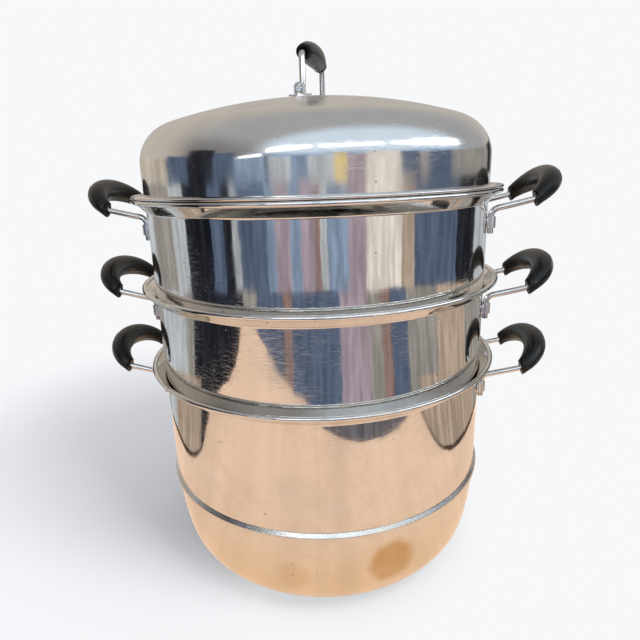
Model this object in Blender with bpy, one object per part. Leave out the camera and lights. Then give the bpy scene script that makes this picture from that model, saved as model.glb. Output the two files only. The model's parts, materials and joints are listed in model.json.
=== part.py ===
"""Stacked stainless-steel steamer: a pot, two steamer tiers and a domed lid.

The axis of the stack is Z and the pot stands on z = 0. The side handles lie on
the X axis. Every vessel ends in the same funnel-shaped rim with a rolled edge,
and the vessel above stands in that funnel on its rounded step.
Lengths are in metres and angles in degrees.
"""

import math

import bmesh
import bpy
from mathutils import Matrix, Vector

# Sheet and fits
SHEET = 0.0010
SEAT_GAP = 0.0003
SEGMENTS = 36

# Walls and rims, the same on the pot and on both tiers
BODY_RADIUS = 0.1506
RIM_FLARE = 0.0114
RIM_RADIUS = BODY_RADIUS + RIM_FLARE
BEAD_RADIUS = 0.0020
FUNNEL_DEPTH = 0.0115

# Pot
POT_HEIGHT = 0.1970
RING_HEIGHT = 0.0880
RING_HALF_HEIGHT = 0.0045
RING_CREST_HALF_HEIGHT = 0.0018
RING_PROUD = 0.0016
BELLY_INSET = 0.0008
BELLY_LEAN = 12.0
BASE_CORNER_RADIUS = 0.0450

# Steamer tiers
TIER_HEIGHT = 0.0850
STEP_RADIUS = 0.0030
NECK_INSET = 0.0036
NECK_DEPTH = 0.0100
NECK_CORNER_RADIUS = 0.0025
HOLE_RADIUS = 0.0050
HOLE_PITCH = 0.0360
HOLE_RINGS = 3

# Lid
LID_OVERSIZE = 0.0004
LID_RADIUS = BODY_RADIUS + LID_OVERSIZE
LID_HEIGHT = 0.0768
LID_SHOULDER_HEIGHT = 0.0250
LID_SHOULDER_RADIUS = 0.0340
FUNNEL_PLAY = 0.0025
HEM_THICKNESS = 0.0022
HEM_WIDTH = 0.0030
HEM_ROUNDING = 0.0007

# Bent wire of the side handles
WIRE_RADIUS = 0.0025
FOOT_ANGLE = 15.0
FOOT_TOP_DROP = 0.0176
FOOT_LENGTH = 0.0195
BEND_RADIUS = 0.0070
LEG_RISE = 12.5
GRIP_STANDOFF = 0.0314
GRIP_START = BODY_RADIUS + GRIP_STANDOFF

# Moulded grips
GRIP_TILT = 40.0
GRIP_DEPTH = 0.0255
GRIP_MID_RADIUS = 0.0105
GRIP_END_RADIUS = 0.0062
GRIP_FULLNESS = 1.0
LID_GRIP_MID_RADIUS = 0.0092

# Lid handle, which folds about the line through its two feet
LID_HANDLE_TURN = -6.5
LID_LEG_OFFSET = 0.0385
LID_LEG_HEIGHT = 0.0252
LID_ARCH_RISE = 0.0085
LID_GRIP_START_ANGLE = 34.0
LID_FOOT_REACH = 0.0150
LID_BEND_RADIUS = 0.0060
LID_WIRE_LIFT = 0.0012

# Straps that hold the wire's feet
STRAP_SHEET = 0.0012
STRAP_WIDTH = 0.0090
STRAP_FLANGE = 0.0050
STRAP_BELOW_BEND = 0.0102
STRAP_DROP = FOOT_TOP_DROP + STRAP_BELOW_BEND
LID_STRAP_WIDTH = 0.0070
LID_STRAP_TAIL = 0.0018
LID_LOOP_SLACK = 0.0035

# Facets
WIRE_SIDES = 8
WIRE_ARCH_SPANS = 3
GRIP_SIDES = 10
GRIP_SPANS = 5
BEND_SPANS = 3
STRAP_ARCH_SPANS = 4
HOLE_SIDES = 6
BEAD_SPANS = 5
BELLY_SPANS = 2
BASE_CORNER_SPANS = 5
STEP_SPANS = 2
NECK_CORNER_SPANS = 1
CROWN_SPANS = 5
SHOULDER_SPANS = 4
SHARP_ANGLE = 40.0


def clear_scene():
    """Remove every object, so the script can be run again."""
    for old in list(bpy.data.objects):
        bpy.data.objects.remove(old, do_unlink=True)


def make_material(name, colour, roughness, metallic):
    """Return a Principled material."""
    material = bpy.data.materials.new(name)
    material.use_nodes = True
    shader = material.node_tree.nodes["Principled BSDF"]
    shader.inputs["Base Color"].default_value = (*colour, 1.0)
    shader.inputs["Roughness"].default_value = roughness
    shader.inputs["Metallic"].default_value = metallic
    return material


def add_object(name, mesh, material, parent=None):
    """Link a mesh object and hang it on its parent."""
    if not mesh.materials:
        mesh.materials.append(material)
    item = bpy.data.objects.new(name, mesh)
    bpy.context.scene.collection.objects.link(item)
    item.parent = parent
    return item


def add_frame(name, location, parent=None):
    """Add an empty that carries one moving body."""
    frame = bpy.data.objects.new(name, None)
    frame.location = location
    bpy.context.scene.collection.objects.link(frame)
    frame.parent = parent
    return frame


def arc(centre, radius, start, stop, spans):
    """Points along an arc in the (radius, height) plane, both ends included."""
    points = []
    for step in range(spans + 1):
        angle = math.radians(start + (stop - start) * step / spans)
        points.append(centre + Vector((math.cos(angle), math.sin(angle))) * radius)
    return points


# Funnel rim


def funnel_frame():
    """Bead centre, outer bend, cone direction and inward normal, with the rim's top at zero."""
    bead = Vector((RIM_RADIUS - BEAD_RADIUS, -BEAD_RADIUS))
    bend = Vector((BODY_RADIUS, -FUNNEL_DEPTH))
    along = (bead - bend).normalized()
    inward = Vector((-along.y, along.x))
    return bead, bend, along, inward


def funnel_rim(rim_height):
    """Outline over the rolled rim, from the wall's inner bend to its outer bend."""
    bead, bend, along, inward = funnel_frame()
    reach = (-SHEET - inward.x * SHEET) / along.x
    inner_bend = bend + inward * SHEET + along * reach
    entry = inward * SHEET - along * math.sqrt(BEAD_RADIUS ** 2 - SHEET ** 2)
    start = math.degrees(math.atan2(entry.y, entry.x)) % 360.0
    stop = math.degrees(math.atan2(-along.y, -along.x))
    roll = arc(bead, BEAD_RADIUS, start, stop, BEAD_SPANS)
    lift = Vector((0.0, rim_height))
    return [point + lift for point in [inner_bend, *roll, bend]]


def step_height_in_funnel():
    """Height of a seated vessel's step below the rim that carries it."""
    bead, _bend, _along, inward = funnel_frame()
    on_cone = bead + inward * SHEET
    centre_radius = BODY_RADIUS - STEP_RADIUS
    distance = STEP_RADIUS + SEAT_GAP
    centre = on_cone.y + (distance - inward.x * (centre_radius - on_cone.x)) / inward.y
    return centre - STEP_RADIUS


# Turned shells


def turned_shell(name, outline, material, parent=None):
    """Turn an outline of (radius, height) points about Z with a Screw modifier."""
    mesh = bpy.data.meshes.new(name)
    points = [(point.x, 0.0, point.y) for point in outline]
    edges = [(index, index + 1) for index in range(len(points) - 1)]
    mesh.from_pydata(points, edges, [])
    item = add_object(name, mesh, material, parent)
    screw = item.modifiers.new("turn", "SCREW")
    screw.steps = SEGMENTS
    screw.render_steps = SEGMENTS
    screw.use_merge_vertices = True
    screw.merge_threshold = 0.00001
    screw.use_smooth_shade = True
    return item


def ring_outline(offset):
    """The pressed ring on the pot, top to bottom, moved inwards by offset."""
    upper = BODY_RADIUS - offset
    lower = BODY_RADIUS - BELLY_INSET - offset
    crest = BODY_RADIUS + RING_PROUD - offset
    return [
        Vector((upper, RING_HEIGHT + RING_HALF_HEIGHT)),
        Vector((crest, RING_HEIGHT + RING_CREST_HALF_HEIGHT)),
        Vector((crest, RING_HEIGHT - RING_CREST_HALF_HEIGHT)),
        Vector((lower, RING_HEIGHT - RING_HALF_HEIGHT)),
    ]


def belly_outline(offset):
    """The pot's belly and base corner, top to bottom, moved inwards by offset."""
    lean = math.radians(BELLY_LEAN)
    top = RING_HEIGHT - RING_HALF_HEIGHT
    joint = BASE_CORNER_RADIUS * (1.0 - math.sin(lean))
    belly_radius = (top - joint) / math.sin(lean)
    wall = BODY_RADIUS - BELLY_INSET
    belly_centre = Vector((wall - belly_radius, top))
    joint_radius = wall - belly_radius * (1.0 - math.cos(lean))
    corner_centre = Vector((joint_radius - BASE_CORNER_RADIUS * math.cos(lean), BASE_CORNER_RADIUS))
    belly = arc(belly_centre, belly_radius - offset, 0.0, -BELLY_LEAN, BELLY_SPANS)
    corner = arc(corner_centre, BASE_CORNER_RADIUS - offset, -BELLY_LEAN, -90.0, BASE_CORNER_SPANS)
    return belly[1:] + corner[1:]


def pot_outline():
    """Half section of the pot, from the inside of its base over the rim to the outside."""
    inside = ring_outline(SHEET) + belly_outline(SHEET) + [Vector((0.0, SHEET))]
    outside = ring_outline(0.0) + belly_outline(0.0) + [Vector((0.0, 0.0))]
    return inside[::-1] + funnel_rim(POT_HEIGHT) + outside


def tier_wall(offset):
    """A tier's wall, step, neck and floor, top to bottom, moved inwards by offset."""
    step = -TIER_HEIGHT
    floor = step - NECK_DEPTH
    neck = BODY_RADIUS - NECK_INSET - offset
    step_centre = Vector((BODY_RADIUS - STEP_RADIUS, step + STEP_RADIUS))
    neck_centre = Vector((neck + offset - NECK_CORNER_RADIUS, floor + NECK_CORNER_RADIUS))
    return [
        *arc(step_centre, STEP_RADIUS - offset, 0.0, -90.0, STEP_SPANS),
        Vector((neck, step + offset)),
        *arc(neck_centre, NECK_CORNER_RADIUS - offset, 0.0, -90.0, NECK_CORNER_SPANS),
        Vector((0.0, floor + offset)),
    ]


def tier_outline():
    """Half section of a tier, with its rim's top at zero."""
    return tier_wall(SHEET)[::-1] + funnel_rim(0.0) + tier_wall(0.0)


def lid_dome(offset):
    """The lid's crown and shoulder, from the axis outwards, moved inwards by offset."""
    reach = LID_RADIUS - LID_SHOULDER_RADIUS
    rise = LID_HEIGHT - LID_SHOULDER_HEIGHT
    crown_radius = crown_curvature()
    crown_centre = Vector((0.0, LID_HEIGHT - crown_radius))
    shoulder_centre = Vector((reach, LID_SHOULDER_HEIGHT))
    meeting = math.degrees(math.atan2(crown_radius - rise, reach))
    crown = arc(crown_centre, crown_radius - offset, 90.0, meeting, CROWN_SPANS)
    shoulder = arc(shoulder_centre, LID_SHOULDER_RADIUS - offset, meeting, 0.0, SHOULDER_SPANS)
    crown[0].x = 0.0
    return crown + shoulder[1:]


def crown_curvature():
    """Radius of the crown that meets the shoulder without a corner."""
    reach = LID_RADIUS - LID_SHOULDER_RADIUS
    rise = LID_HEIGHT - LID_SHOULDER_HEIGHT
    return (reach ** 2 + rise ** 2 - LID_SHOULDER_RADIUS ** 2) / (2.0 * (rise - LID_SHOULDER_RADIUS))


def lid_outline():
    """Half section of the lid, with the carrying rim's top at zero."""
    bead, _bend, along, inward = funnel_frame()
    under = bead + inward * SHEET - Vector((FUNNEL_PLAY, 0.0))
    over = under + inward * SHEET

    def on_slope(origin, radius):
        return origin + along * ((radius - origin.x) / along.x)

    def at_height(origin, height):
        return origin + along * ((height - origin.y) / along.y)

    flange_under = SEAT_GAP
    flange_over = SEAT_GAP + SHEET
    hem_over = SEAT_GAP + HEM_THICKNESS
    hem_inner = RIM_RADIUS - HEM_WIDTH
    return [
        *lid_dome(0.0),
        on_slope(over, LID_RADIUS),
        at_height(over, flange_over),
        Vector((hem_inner, flange_over)),
        Vector((hem_inner + HEM_ROUNDING, hem_over)),
        Vector((RIM_RADIUS - HEM_ROUNDING, hem_over)),
        Vector((RIM_RADIUS, flange_under + HEM_THICKNESS / 2.0)),
        Vector((RIM_RADIUS - HEM_ROUNDING, flange_under)),
        at_height(under, flange_under),
        on_slope(under, LID_RADIUS - SHEET),
        *lid_dome(SHEET)[::-1],
    ]


# Steam holes


def steam_hole_cutter():
    """Upright prisms in rings of six, twelve, eighteen and so on about one at the centre."""
    mesh = bpy.data.meshes.new("steam_hole_cutter")
    cutter = bmesh.new()
    through = SHEET + 2.0 * NECK_CORNER_RADIUS
    for ring in range(HOLE_RINGS + 1):
        count = max(1, 6 * ring)
        for index in range(count):
            angle = 2.0 * math.pi * index / count
            spot = Vector((math.cos(angle), math.sin(angle), 0.0)) * HOLE_PITCH * ring
            bmesh.ops.create_cone(
                cutter, cap_ends=True, segments=HOLE_SIDES, radius1=HOLE_RADIUS,
                radius2=HOLE_RADIUS, depth=through, matrix=Matrix.Translation(spot))
    cutter.to_mesh(mesh)
    cutter.free()
    return mesh


def cut_steam_holes(tier, cutter_mesh, material):
    """Pierce a tier's floor."""
    cutter = add_object(tier.name + "_hole_cutter", cutter_mesh, material, tier.parent)
    cutter.location.z = -TIER_HEIGHT - NECK_DEPTH + SHEET / 2.0
    cutter.hide_render = True
    cutter.display_type = "WIRE"
    cut = tier.modifiers.new("steam_holes", "BOOLEAN")
    cut.operation = "DIFFERENCE"
    cut.object = cutter


# Swept wires and grips


def rounded_corner(before, corner, after, radius):
    """Points round a corner between two straight runs."""
    back = (before - corner).normalized()
    ahead = (after - corner).normalized()
    half = back.angle(ahead) / 2.0
    tangent = radius / math.tan(half)
    centre = corner + (back + ahead).normalized() * (radius / math.sin(half))
    first = (corner + back * tangent - centre).normalized()
    last = (corner + ahead * tangent - centre).normalized()
    return [
        centre + first.slerp(last, step / BEND_SPANS) * radius
        for step in range(BEND_SPANS + 1)
    ]


def mirrored(half):
    """Complete a path that ends on the plane y = 0 with its mirror image."""
    return half + [Vector((p.x, -p.y, p.z)) for p in reversed(half[:-1])]


def tangents(path):
    """Unit directions along a path."""
    last = len(path) - 1
    return [(path[min(i + 1, last)] - path[max(i - 1, 0)]).normalized() for i in range(last + 1)]


def sweep(shape, path, directions, radii, side_on, sides):
    """Add a tube without caps to a bmesh and return its rings of vertices."""
    rings = []
    for point, direction, radius in zip(path, directions, radii):
        first = (side_on - direction * side_on.dot(direction)).normalized()
        second = direction.cross(first)
        ring = []
        for index in range(sides):
            angle = 2.0 * math.pi * index / sides
            offset = first * math.cos(angle) + second * math.sin(angle)
            ring.append(shape.verts.new(point + offset * radius))
        rings.append(ring)
    for lower, upper in zip(rings, rings[1:]):
        for index in range(sides):
            following = (index + 1) % sides
            shape.faces.new((lower[index], lower[following], upper[following], upper[index]))
    return rings


def finish_mesh(name, shape):
    """Point the faces outwards, shade smooth and turn a bmesh into a mesh."""
    bmesh.ops.recalc_face_normals(shape, faces=shape.faces)
    mesh = bpy.data.meshes.new(name)
    shape.to_mesh(mesh)
    shape.free()
    mesh.shade_smooth()
    mesh.set_sharp_from_angle(angle=math.radians(SHARP_ANGLE))
    return mesh


def wire_mesh(name, path, side_on):
    """A bent wire with flat-cut ends."""
    shape = bmesh.new()
    radii = [WIRE_RADIUS] * len(path)
    rings = sweep(shape, path, tangents(path), radii, side_on, WIRE_SIDES)
    shape.faces.new(rings[0][::-1])
    shape.faces.new(rings[-1])
    return finish_mesh(name, shape)


def grip_mesh(name, wire_path, first, centreline, swell, side_on):
    """A moulded grip round the wire, bored along the wire's own path."""
    last = len(wire_path) - 1 - first
    wire_directions = tangents(wire_path)
    directions = tangents(centreline)
    directions[0] = wire_directions[first]
    directions[-1] = wire_directions[last]
    bore_path = wire_path[first:last + 1]
    bore_radii = [WIRE_RADIUS + SEAT_GAP] * len(bore_path)
    shape = bmesh.new()
    outer = sweep(shape, centreline, directions, swell, side_on, GRIP_SIDES)
    bore = sweep(shape, bore_path, wire_directions[first:last + 1], bore_radii, side_on, WIRE_SIDES)
    for end in (0, -1):
        close_end(shape, outer[end], bore[end])
    return finish_mesh(name, shape)


def close_end(shape, outer, inner):
    """Join two rings that start at the same angle, whatever their numbers of vertices."""
    far = 0
    near = 0
    while far < len(outer) or near < len(inner):
        at_outer = outer[far % len(outer)]
        at_inner = inner[near % len(inner)]
        if (far + 1) * len(inner) <= (near + 1) * len(outer):
            far += 1
            shape.faces.new((at_outer, outer[far % len(outer)], at_inner))
        else:
            near += 1
            shape.faces.new((at_outer, inner[near % len(inner)], at_inner))


def arch_points(centre, half_span, rise, start, spans):
    """Half of an elliptical arch, from its start angle to its middle on y = 0."""
    points = []
    for step in range(spans + 1):
        angle = math.radians(start + (90.0 - start) * step / spans)
        across = Vector((0.0, half_span * math.cos(angle), 0.0))
        points.append(centre + across + rise * math.sin(angle))
    points[-1].y = 0.0
    return points


def grip_radii(middle_radius):
    """Radii along a whole grip, thick in the middle and narrow at both ends."""
    half = []
    for step in range(GRIP_SPANS + 1):
        angle = math.radians(90.0 * step / GRIP_SPANS)
        swell = math.sin(angle) ** GRIP_FULLNESS
        half.append(GRIP_END_RADIUS + (middle_radius - GRIP_END_RADIUS) * swell)
    return half + half[-2::-1]


# Side handles


def facet_radius():
    """Distance from the axis to the middle of a wall's facet, where the feet lie."""
    return BODY_RADIUS * math.cos(math.pi / SEGMENTS)


def side_handle_meshes():
    """Wire and grip of a side handle on +X, with the vessel's rim at z = 0."""
    foot_radius = facet_radius() + SEAT_GAP + WIRE_RADIUS
    foot_x = foot_radius * math.cos(math.radians(FOOT_ANGLE))
    foot_y = foot_radius * math.sin(math.radians(FOOT_ANGLE))
    corner = Vector((foot_x, foot_y, -FOOT_TOP_DROP))
    foot_end = corner - Vector((0.0, 0.0, FOOT_LENGTH))
    leg_rise = (GRIP_START - foot_x) * math.tan(math.radians(LEG_RISE))
    grip_start = Vector((GRIP_START, foot_y, corner.z + leg_rise))
    tilt = math.radians(GRIP_TILT)
    rise = Vector((math.cos(tilt), 0.0, math.sin(tilt))) * GRIP_DEPTH
    side_on = Vector((-math.sin(tilt), 0.0, math.cos(tilt)))
    middle = Vector((grip_start.x, 0.0, grip_start.z))

    foot = [foot_end, *rounded_corner(foot_end, corner, grip_start, BEND_RADIUS)]
    arch = arch_points(middle, foot_y, rise, 0.0, WIRE_ARCH_SPANS)
    path = mirrored(foot + arch)
    wire = wire_mesh("side_wire", path, side_on)
    centreline = mirrored(arch_points(middle, foot_y, rise, 0.0, GRIP_SPANS))
    radii = grip_radii(GRIP_MID_RADIUS)
    grip = grip_mesh("side_grip", path, len(foot), centreline, radii, side_on)
    return wire, grip


def strap_mesh(name, width, slack):
    """A pressed strap over a wire that lies along Z; the wall is the plane x = 0."""
    inner = (WIRE_RADIUS + SEAT_GAP) / math.cos(math.pi / (2.0 * STRAP_ARCH_SPANS))
    outer = inner + STRAP_SHEET
    base = SEAT_GAP
    crest = base + WIRE_RADIUS + slack
    flange = outer + STRAP_FLANGE
    centre = Vector((crest, 0.0))
    inner_arch = arc(centre, inner, -90.0, 90.0, STRAP_ARCH_SPANS)
    outer_arch = arc(centre, outer, 90.0, -90.0, STRAP_ARCH_SPANS)
    outline = [
        Vector((base, -flange)), Vector((base, -inner)), *inner_arch,
        Vector((base, inner)), Vector((base, flange)),
        Vector((base + STRAP_SHEET, flange)), Vector((base + STRAP_SHEET, outer)), *outer_arch,
        Vector((base + STRAP_SHEET, -outer)), Vector((base + STRAP_SHEET, -flange)),
    ]
    shape = bmesh.new()
    verts = [shape.verts.new((point.x, point.y, -width / 2.0)) for point in outline]
    face = shape.faces.new(verts)
    grown = bmesh.ops.extrude_face_region(shape, geom=[face])["geom"]
    lifted = [item for item in grown if isinstance(item, bmesh.types.BMVert)]
    bmesh.ops.translate(shape, verts=lifted, vec=(0.0, 0.0, width))
    return finish_mesh(name, shape)


def add_side_handles(vessel, rim_height, meshes, materials, parent=None):
    """Both handles of one vessel: wire, grip and two straps on each side."""
    wire, grip, strap = meshes
    steel, bakelite, strap_steel = materials
    for side, turn in (("right", 0.0), ("left", math.pi)):
        stem = f"{vessel}_{side}"
        for item in (
            add_object(stem + "_wire", wire, steel, parent),
            add_object(stem + "_grip", grip, bakelite, parent),
        ):
            item.location.z = rim_height
            item.rotation_euler.z = turn
        for end, sign in (("front", -1.0), ("back", 1.0)):
            offset = sign * math.radians(FOOT_ANGLE)
            angle = turn + offset if side == "right" else turn - offset
            item = add_object(f"{stem}_{end}_strap", strap, strap_steel, parent)
            reach = facet_radius()
            item.location = (reach * math.cos(angle), reach * math.sin(angle), rim_height - STRAP_DROP)
            item.rotation_euler.z = angle


# Lid handle


def crown_height(radius):
    """Height of the lid's outer surface above the carrying rim, at a radius on the crown."""
    curvature = crown_curvature()
    return LID_HEIGHT - curvature + math.sqrt(curvature ** 2 - radius ** 2)


def lid_hinge_height():
    """Height of the line through the lid handle's feet above the carrying rim."""
    return crown_height(LID_LEG_OFFSET) + LID_WIRE_LIFT + WIRE_RADIUS


def lid_handle_meshes():
    """Wire and grip of the lid handle, with its hinge line along Y at z = 0."""
    side_on = Vector((1.0, 0.0, 0.0))
    corner = Vector((0.0, LID_LEG_OFFSET, 0.0))
    foot_end = Vector((0.0, LID_LEG_OFFSET + LID_FOOT_REACH, 0.0))
    leg_top = Vector((0.0, LID_LEG_OFFSET, LID_LEG_HEIGHT))
    middle = Vector((0.0, 0.0, LID_LEG_HEIGHT))
    rise = Vector((0.0, 0.0, LID_ARCH_RISE))
    start = LID_GRIP_START_ANGLE
    foot = [foot_end, *rounded_corner(foot_end, corner, leg_top, LID_BEND_RADIUS), leg_top]
    arch = arch_points(middle, LID_LEG_OFFSET, rise, start, WIRE_ARCH_SPANS)
    path = mirrored(foot + arch)
    wire = wire_mesh("lid_wire", path, side_on)
    centreline = mirrored(arch_points(middle, LID_LEG_OFFSET, rise, start, GRIP_SPANS))
    radii = grip_radii(LID_GRIP_MID_RADIUS)
    grip = grip_mesh("lid_grip", path, len(foot), centreline, radii, side_on)
    return wire, grip


def add_lid_handle(lid_frame, materials):
    """The folding handle and the two loops that are welded to the crown."""
    steel, bakelite, strap_steel = materials
    turn = math.radians(LID_HANDLE_TURN)
    hinge = add_frame("lid_handle_frame", (0.0, 0.0, lid_hinge_height()), lid_frame)
    hinge.rotation_euler.z = turn
    wire, grip = lid_handle_meshes()
    add_object("lid_wire", wire, steel, hinge)
    add_object("lid_grip", grip, bakelite, hinge)
    strap = strap_mesh("lid_strap", LID_STRAP_WIDTH, LID_LOOP_SLACK)
    reach = LID_LEG_OFFSET + LID_FOOT_REACH - LID_STRAP_TAIL - LID_STRAP_WIDTH / 2.0
    slope = math.asin(reach / crown_curvature())
    for end, side in (("front", -1.0), ("back", 1.0)):
        item = add_object(f"lid_{end}_strap", strap, strap_steel, lid_frame)
        bearing = turn + side * math.pi / 2.0
        item.location = (reach * math.cos(bearing), reach * math.sin(bearing), crown_height(reach))
        outward = Matrix.Rotation(bearing, 4, "Z") @ Matrix.Rotation(slope, 4, "Y")
        upright = Matrix.Rotation(-math.pi / 2.0, 4, "Y")
        item.rotation_euler = (outward @ upright).to_euler()


def build():
    """Make the whole steamer."""
    clear_scene()
    steel = make_material("polished_steel", (0.80, 0.78, 0.75), 0.12, 1.0)
    wire_steel = make_material("wire_steel", (0.74, 0.73, 0.71), 0.18, 1.0)
    strap_steel = make_material("strap_steel", (0.70, 0.69, 0.67), 0.28, 1.0)
    bakelite = make_material("black_bakelite", (0.020, 0.019, 0.018), 0.32, 0.0)
    handle_materials = (wire_steel, bakelite, strap_steel)

    wire, grip = side_handle_meshes()
    strap = strap_mesh("side_strap", STRAP_WIDTH, 0.0)
    handle_meshes = (wire, grip, strap)
    cutter_mesh = steam_hole_cutter()
    rim_pitch = TIER_HEIGHT + step_height_in_funnel()

    turned_shell("pot_shell", pot_outline(), steel)
    add_side_handles("pot", POT_HEIGHT, handle_meshes, handle_materials)

    lower_frame = add_frame("lower_tier_frame", (0.0, 0.0, POT_HEIGHT + rim_pitch))
    upper_frame = add_frame("upper_tier_frame", (0.0, 0.0, rim_pitch), lower_frame)
    for vessel, frame in (("lower_tier", lower_frame), ("upper_tier", upper_frame)):
        shell = turned_shell(vessel + "_shell", tier_outline(), steel, frame)
        cut_steam_holes(shell, cutter_mesh, steel)
        add_side_handles(vessel, 0.0, handle_meshes, handle_materials, frame)

    lid_frame = add_frame("lid_frame", (0.0, 0.0, 0.0), upper_frame)
    turned_shell("lid_shell", lid_outline(), steel, lid_frame)
    add_lid_handle(lid_frame, handle_materials)


build()
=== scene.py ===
# %% [markdown]
# # A stacked steamer pot in polished steel
# The object is a deep pot, two steamer tiers and a high domed lid, all of thin stainless sheet, with bent-wire
# handles and black moulded grips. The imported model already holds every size, seat and joint. This lesson dresses
# it: each piece is made again with a fine, round surface, and each gets a material with the wear of a pot in use.
#
# Polished sheet shows every flat facet of a coarse mesh, so the turned shells are made anew with many segments.

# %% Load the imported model
import json
import math

import bmesh
import bpy
from mathutils import Matrix, Vector


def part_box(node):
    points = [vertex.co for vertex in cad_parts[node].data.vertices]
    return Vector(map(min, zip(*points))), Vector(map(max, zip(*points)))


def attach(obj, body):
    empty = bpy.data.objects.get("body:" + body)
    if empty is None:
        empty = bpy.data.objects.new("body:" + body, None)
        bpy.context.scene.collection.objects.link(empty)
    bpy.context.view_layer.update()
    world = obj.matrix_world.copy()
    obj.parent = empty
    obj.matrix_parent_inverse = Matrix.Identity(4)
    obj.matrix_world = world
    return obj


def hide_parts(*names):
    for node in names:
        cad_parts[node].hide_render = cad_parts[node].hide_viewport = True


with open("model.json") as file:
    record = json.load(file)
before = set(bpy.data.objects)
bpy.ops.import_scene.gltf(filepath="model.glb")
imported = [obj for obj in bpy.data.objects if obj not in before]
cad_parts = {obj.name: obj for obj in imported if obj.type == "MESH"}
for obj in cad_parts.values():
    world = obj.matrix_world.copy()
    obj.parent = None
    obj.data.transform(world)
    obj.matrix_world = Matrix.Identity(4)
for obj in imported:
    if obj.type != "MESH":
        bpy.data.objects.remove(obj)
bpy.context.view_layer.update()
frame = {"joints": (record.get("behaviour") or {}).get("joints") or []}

# %% [markdown]
# ## The camera
# The view is a little above the rims and turned six degrees, so that the right-hand handles come nearer. The
# place and the tilt were fitted to the ellipses of the rims; the small roll about the view axis is the tilt that
# a hand-held picture has.

# %% Camera
CAMERA_PLACE = (0.04971, -0.47300, 0.36006)
CAMERA_DOWN = 16.39
CAMERA_TURN = 6.115
CAMERA_ROLL = -1.93
LENS_MM = 28.2
SENSOR_MM = 36.0

camera_data = bpy.data.cameras.new("camera")
camera_data.lens = LENS_MM
camera_data.sensor_width = SENSOR_MM
camera_data.clip_start = 0.01
camera_data.clip_end = 200.0
camera = bpy.data.objects.new("camera", camera_data)
bpy.context.scene.collection.objects.link(camera)
aim = Matrix.Rotation(math.radians(CAMERA_TURN), 4, "Z")
aim = aim @ Matrix.Rotation(math.radians(90.0 - CAMERA_DOWN), 4, "X")
aim = aim @ Matrix.Rotation(math.radians(CAMERA_ROLL), 4, "Z")
camera.matrix_world = Matrix.Translation(CAMERA_PLACE) @ aim
bpy.context.scene.camera = camera
print("camera", CAMERA_DOWN, "degrees down,", LENS_MM, "mm")

# %% [markdown]
# ## Sizes
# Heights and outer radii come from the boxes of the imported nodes. The rest are the sheet, the rolls and the
# bends of the real object, in metres and degrees.

# %% Sizes
VESSELS = ("pot", "lower_tier", "upper_tier")
RIM_HEIGHT = {vessel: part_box(vessel + "_shell")[1].z for vessel in VESSELS}
RIM_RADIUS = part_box("pot_shell")[1].x
LID_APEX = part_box("lid_shell")[1].z
TIER_DROP = RIM_HEIGHT["upper_tier"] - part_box("upper_tier_shell")[0].z

SHEET = 0.0010
GAP = 0.0003
BODY_RADIUS = 0.1506
BEAD_RADIUS = 0.0020
FUNNEL_DEPTH = 0.0115
RING_HEIGHT = 0.0880
RING_HALF_HEIGHT = 0.0045
SEGMENTS = 192
SHARP_ANGLE = 38.0

for vessel in VESSELS:
    print(vessel, "rim at", round(RIM_HEIGHT[vessel], 4))
print("rim radius", round(RIM_RADIUS, 4), "lid apex", round(LID_APEX, 4))

# %% [markdown]
# ## Turning a shell
# A spun or deep-drawn vessel is a half section turned about its axis. The Screw modifier could do it. Here the
# rings are laid in bmesh, because each point where the section meets the axis can then be one single vertex, so
# the middle of a mirror-bright dome has no pinched faces. Smooth shading blends the normals at a bend into the
# whole length of the next straight wall, which would bow the mirror, so each straight run is held near its ends.

# %% Turning a half section
ON_AXIS = 0.00001
LONG_RUN = 0.0018
HOLD_REACH = 0.00035
HOLD_TURN = 3.0


def arc(centre, radius, start, stop, steps):
    """Points along an arc in the plane of the section, both ends included."""
    points = []
    for step in range(steps + 1):
        angle = math.radians(start + (stop - start) * step / steps)
        points.append(centre + Vector((math.cos(angle), math.sin(angle))) * radius)
    return points


def object_from(name, shape, material=None):
    """Turn a bmesh into an object of the scene."""
    mesh = bpy.data.meshes.new(name)
    shape.to_mesh(mesh)
    shape.free()
    if material:
        mesh.materials.append(material)
    item = bpy.data.objects.new(name, mesh)
    bpy.context.scene.collection.objects.link(item)
    return item


def add_piece(name, shape, material, body, stands_for):
    """Make a piece from a bmesh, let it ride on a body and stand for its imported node."""
    bmesh.ops.recalc_face_normals(shape, faces=shape.faces)
    piece = object_from(name, shape, material)
    piece.data.shade_smooth()
    piece.data.set_sharp_from_angle(angle=math.radians(SHARP_ANGLE))
    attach(piece, body)
    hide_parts(stands_for)
    return piece


def held(outline):
    """Add points near the ends of long straight runs, so that smooth shading leaves the runs straight."""
    def bends(before, after):
        return math.degrees(before.angle(after, 0.0)) > HOLD_TURN

    points = [outline[0]]
    for index in range(1, len(outline)):
        near, far = outline[index - 1], outline[index]
        run = far - near
        if run.length > LONG_RUN:
            step = run.normalized() * HOLD_REACH
            if index > 1 and bends(near - outline[index - 2], run):
                points.append(near + step)
            if index + 1 < len(outline) and bends(run, outline[index + 1] - far):
                points.append(far - step)
        points.append(far)
    return points


def lathed(outline, segments):
    """Turn a line of points about the axis; a point on the axis becomes one single vertex."""
    shape = bmesh.new()
    turns = [2.0 * math.pi * index / segments for index in range(segments)]
    rings = []
    for point in outline:
        around = [0.0] if point.x < ON_AXIS else turns
        reach = 0.0 if point.x < ON_AXIS else point.x
        rings.append([shape.verts.new((reach * math.cos(a), reach * math.sin(a), point.y)) for a in around])
    for near, far in zip(rings, rings[1:]):
        for index in range(segments):
            after = (index + 1) % segments
            places = ((near, index), (near, after), (far, after), (far, index))
            corners = [ring[place % len(ring)] for ring, place in places]
            shape.faces.new(list(dict.fromkeys(corners)))
    return shape


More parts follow.
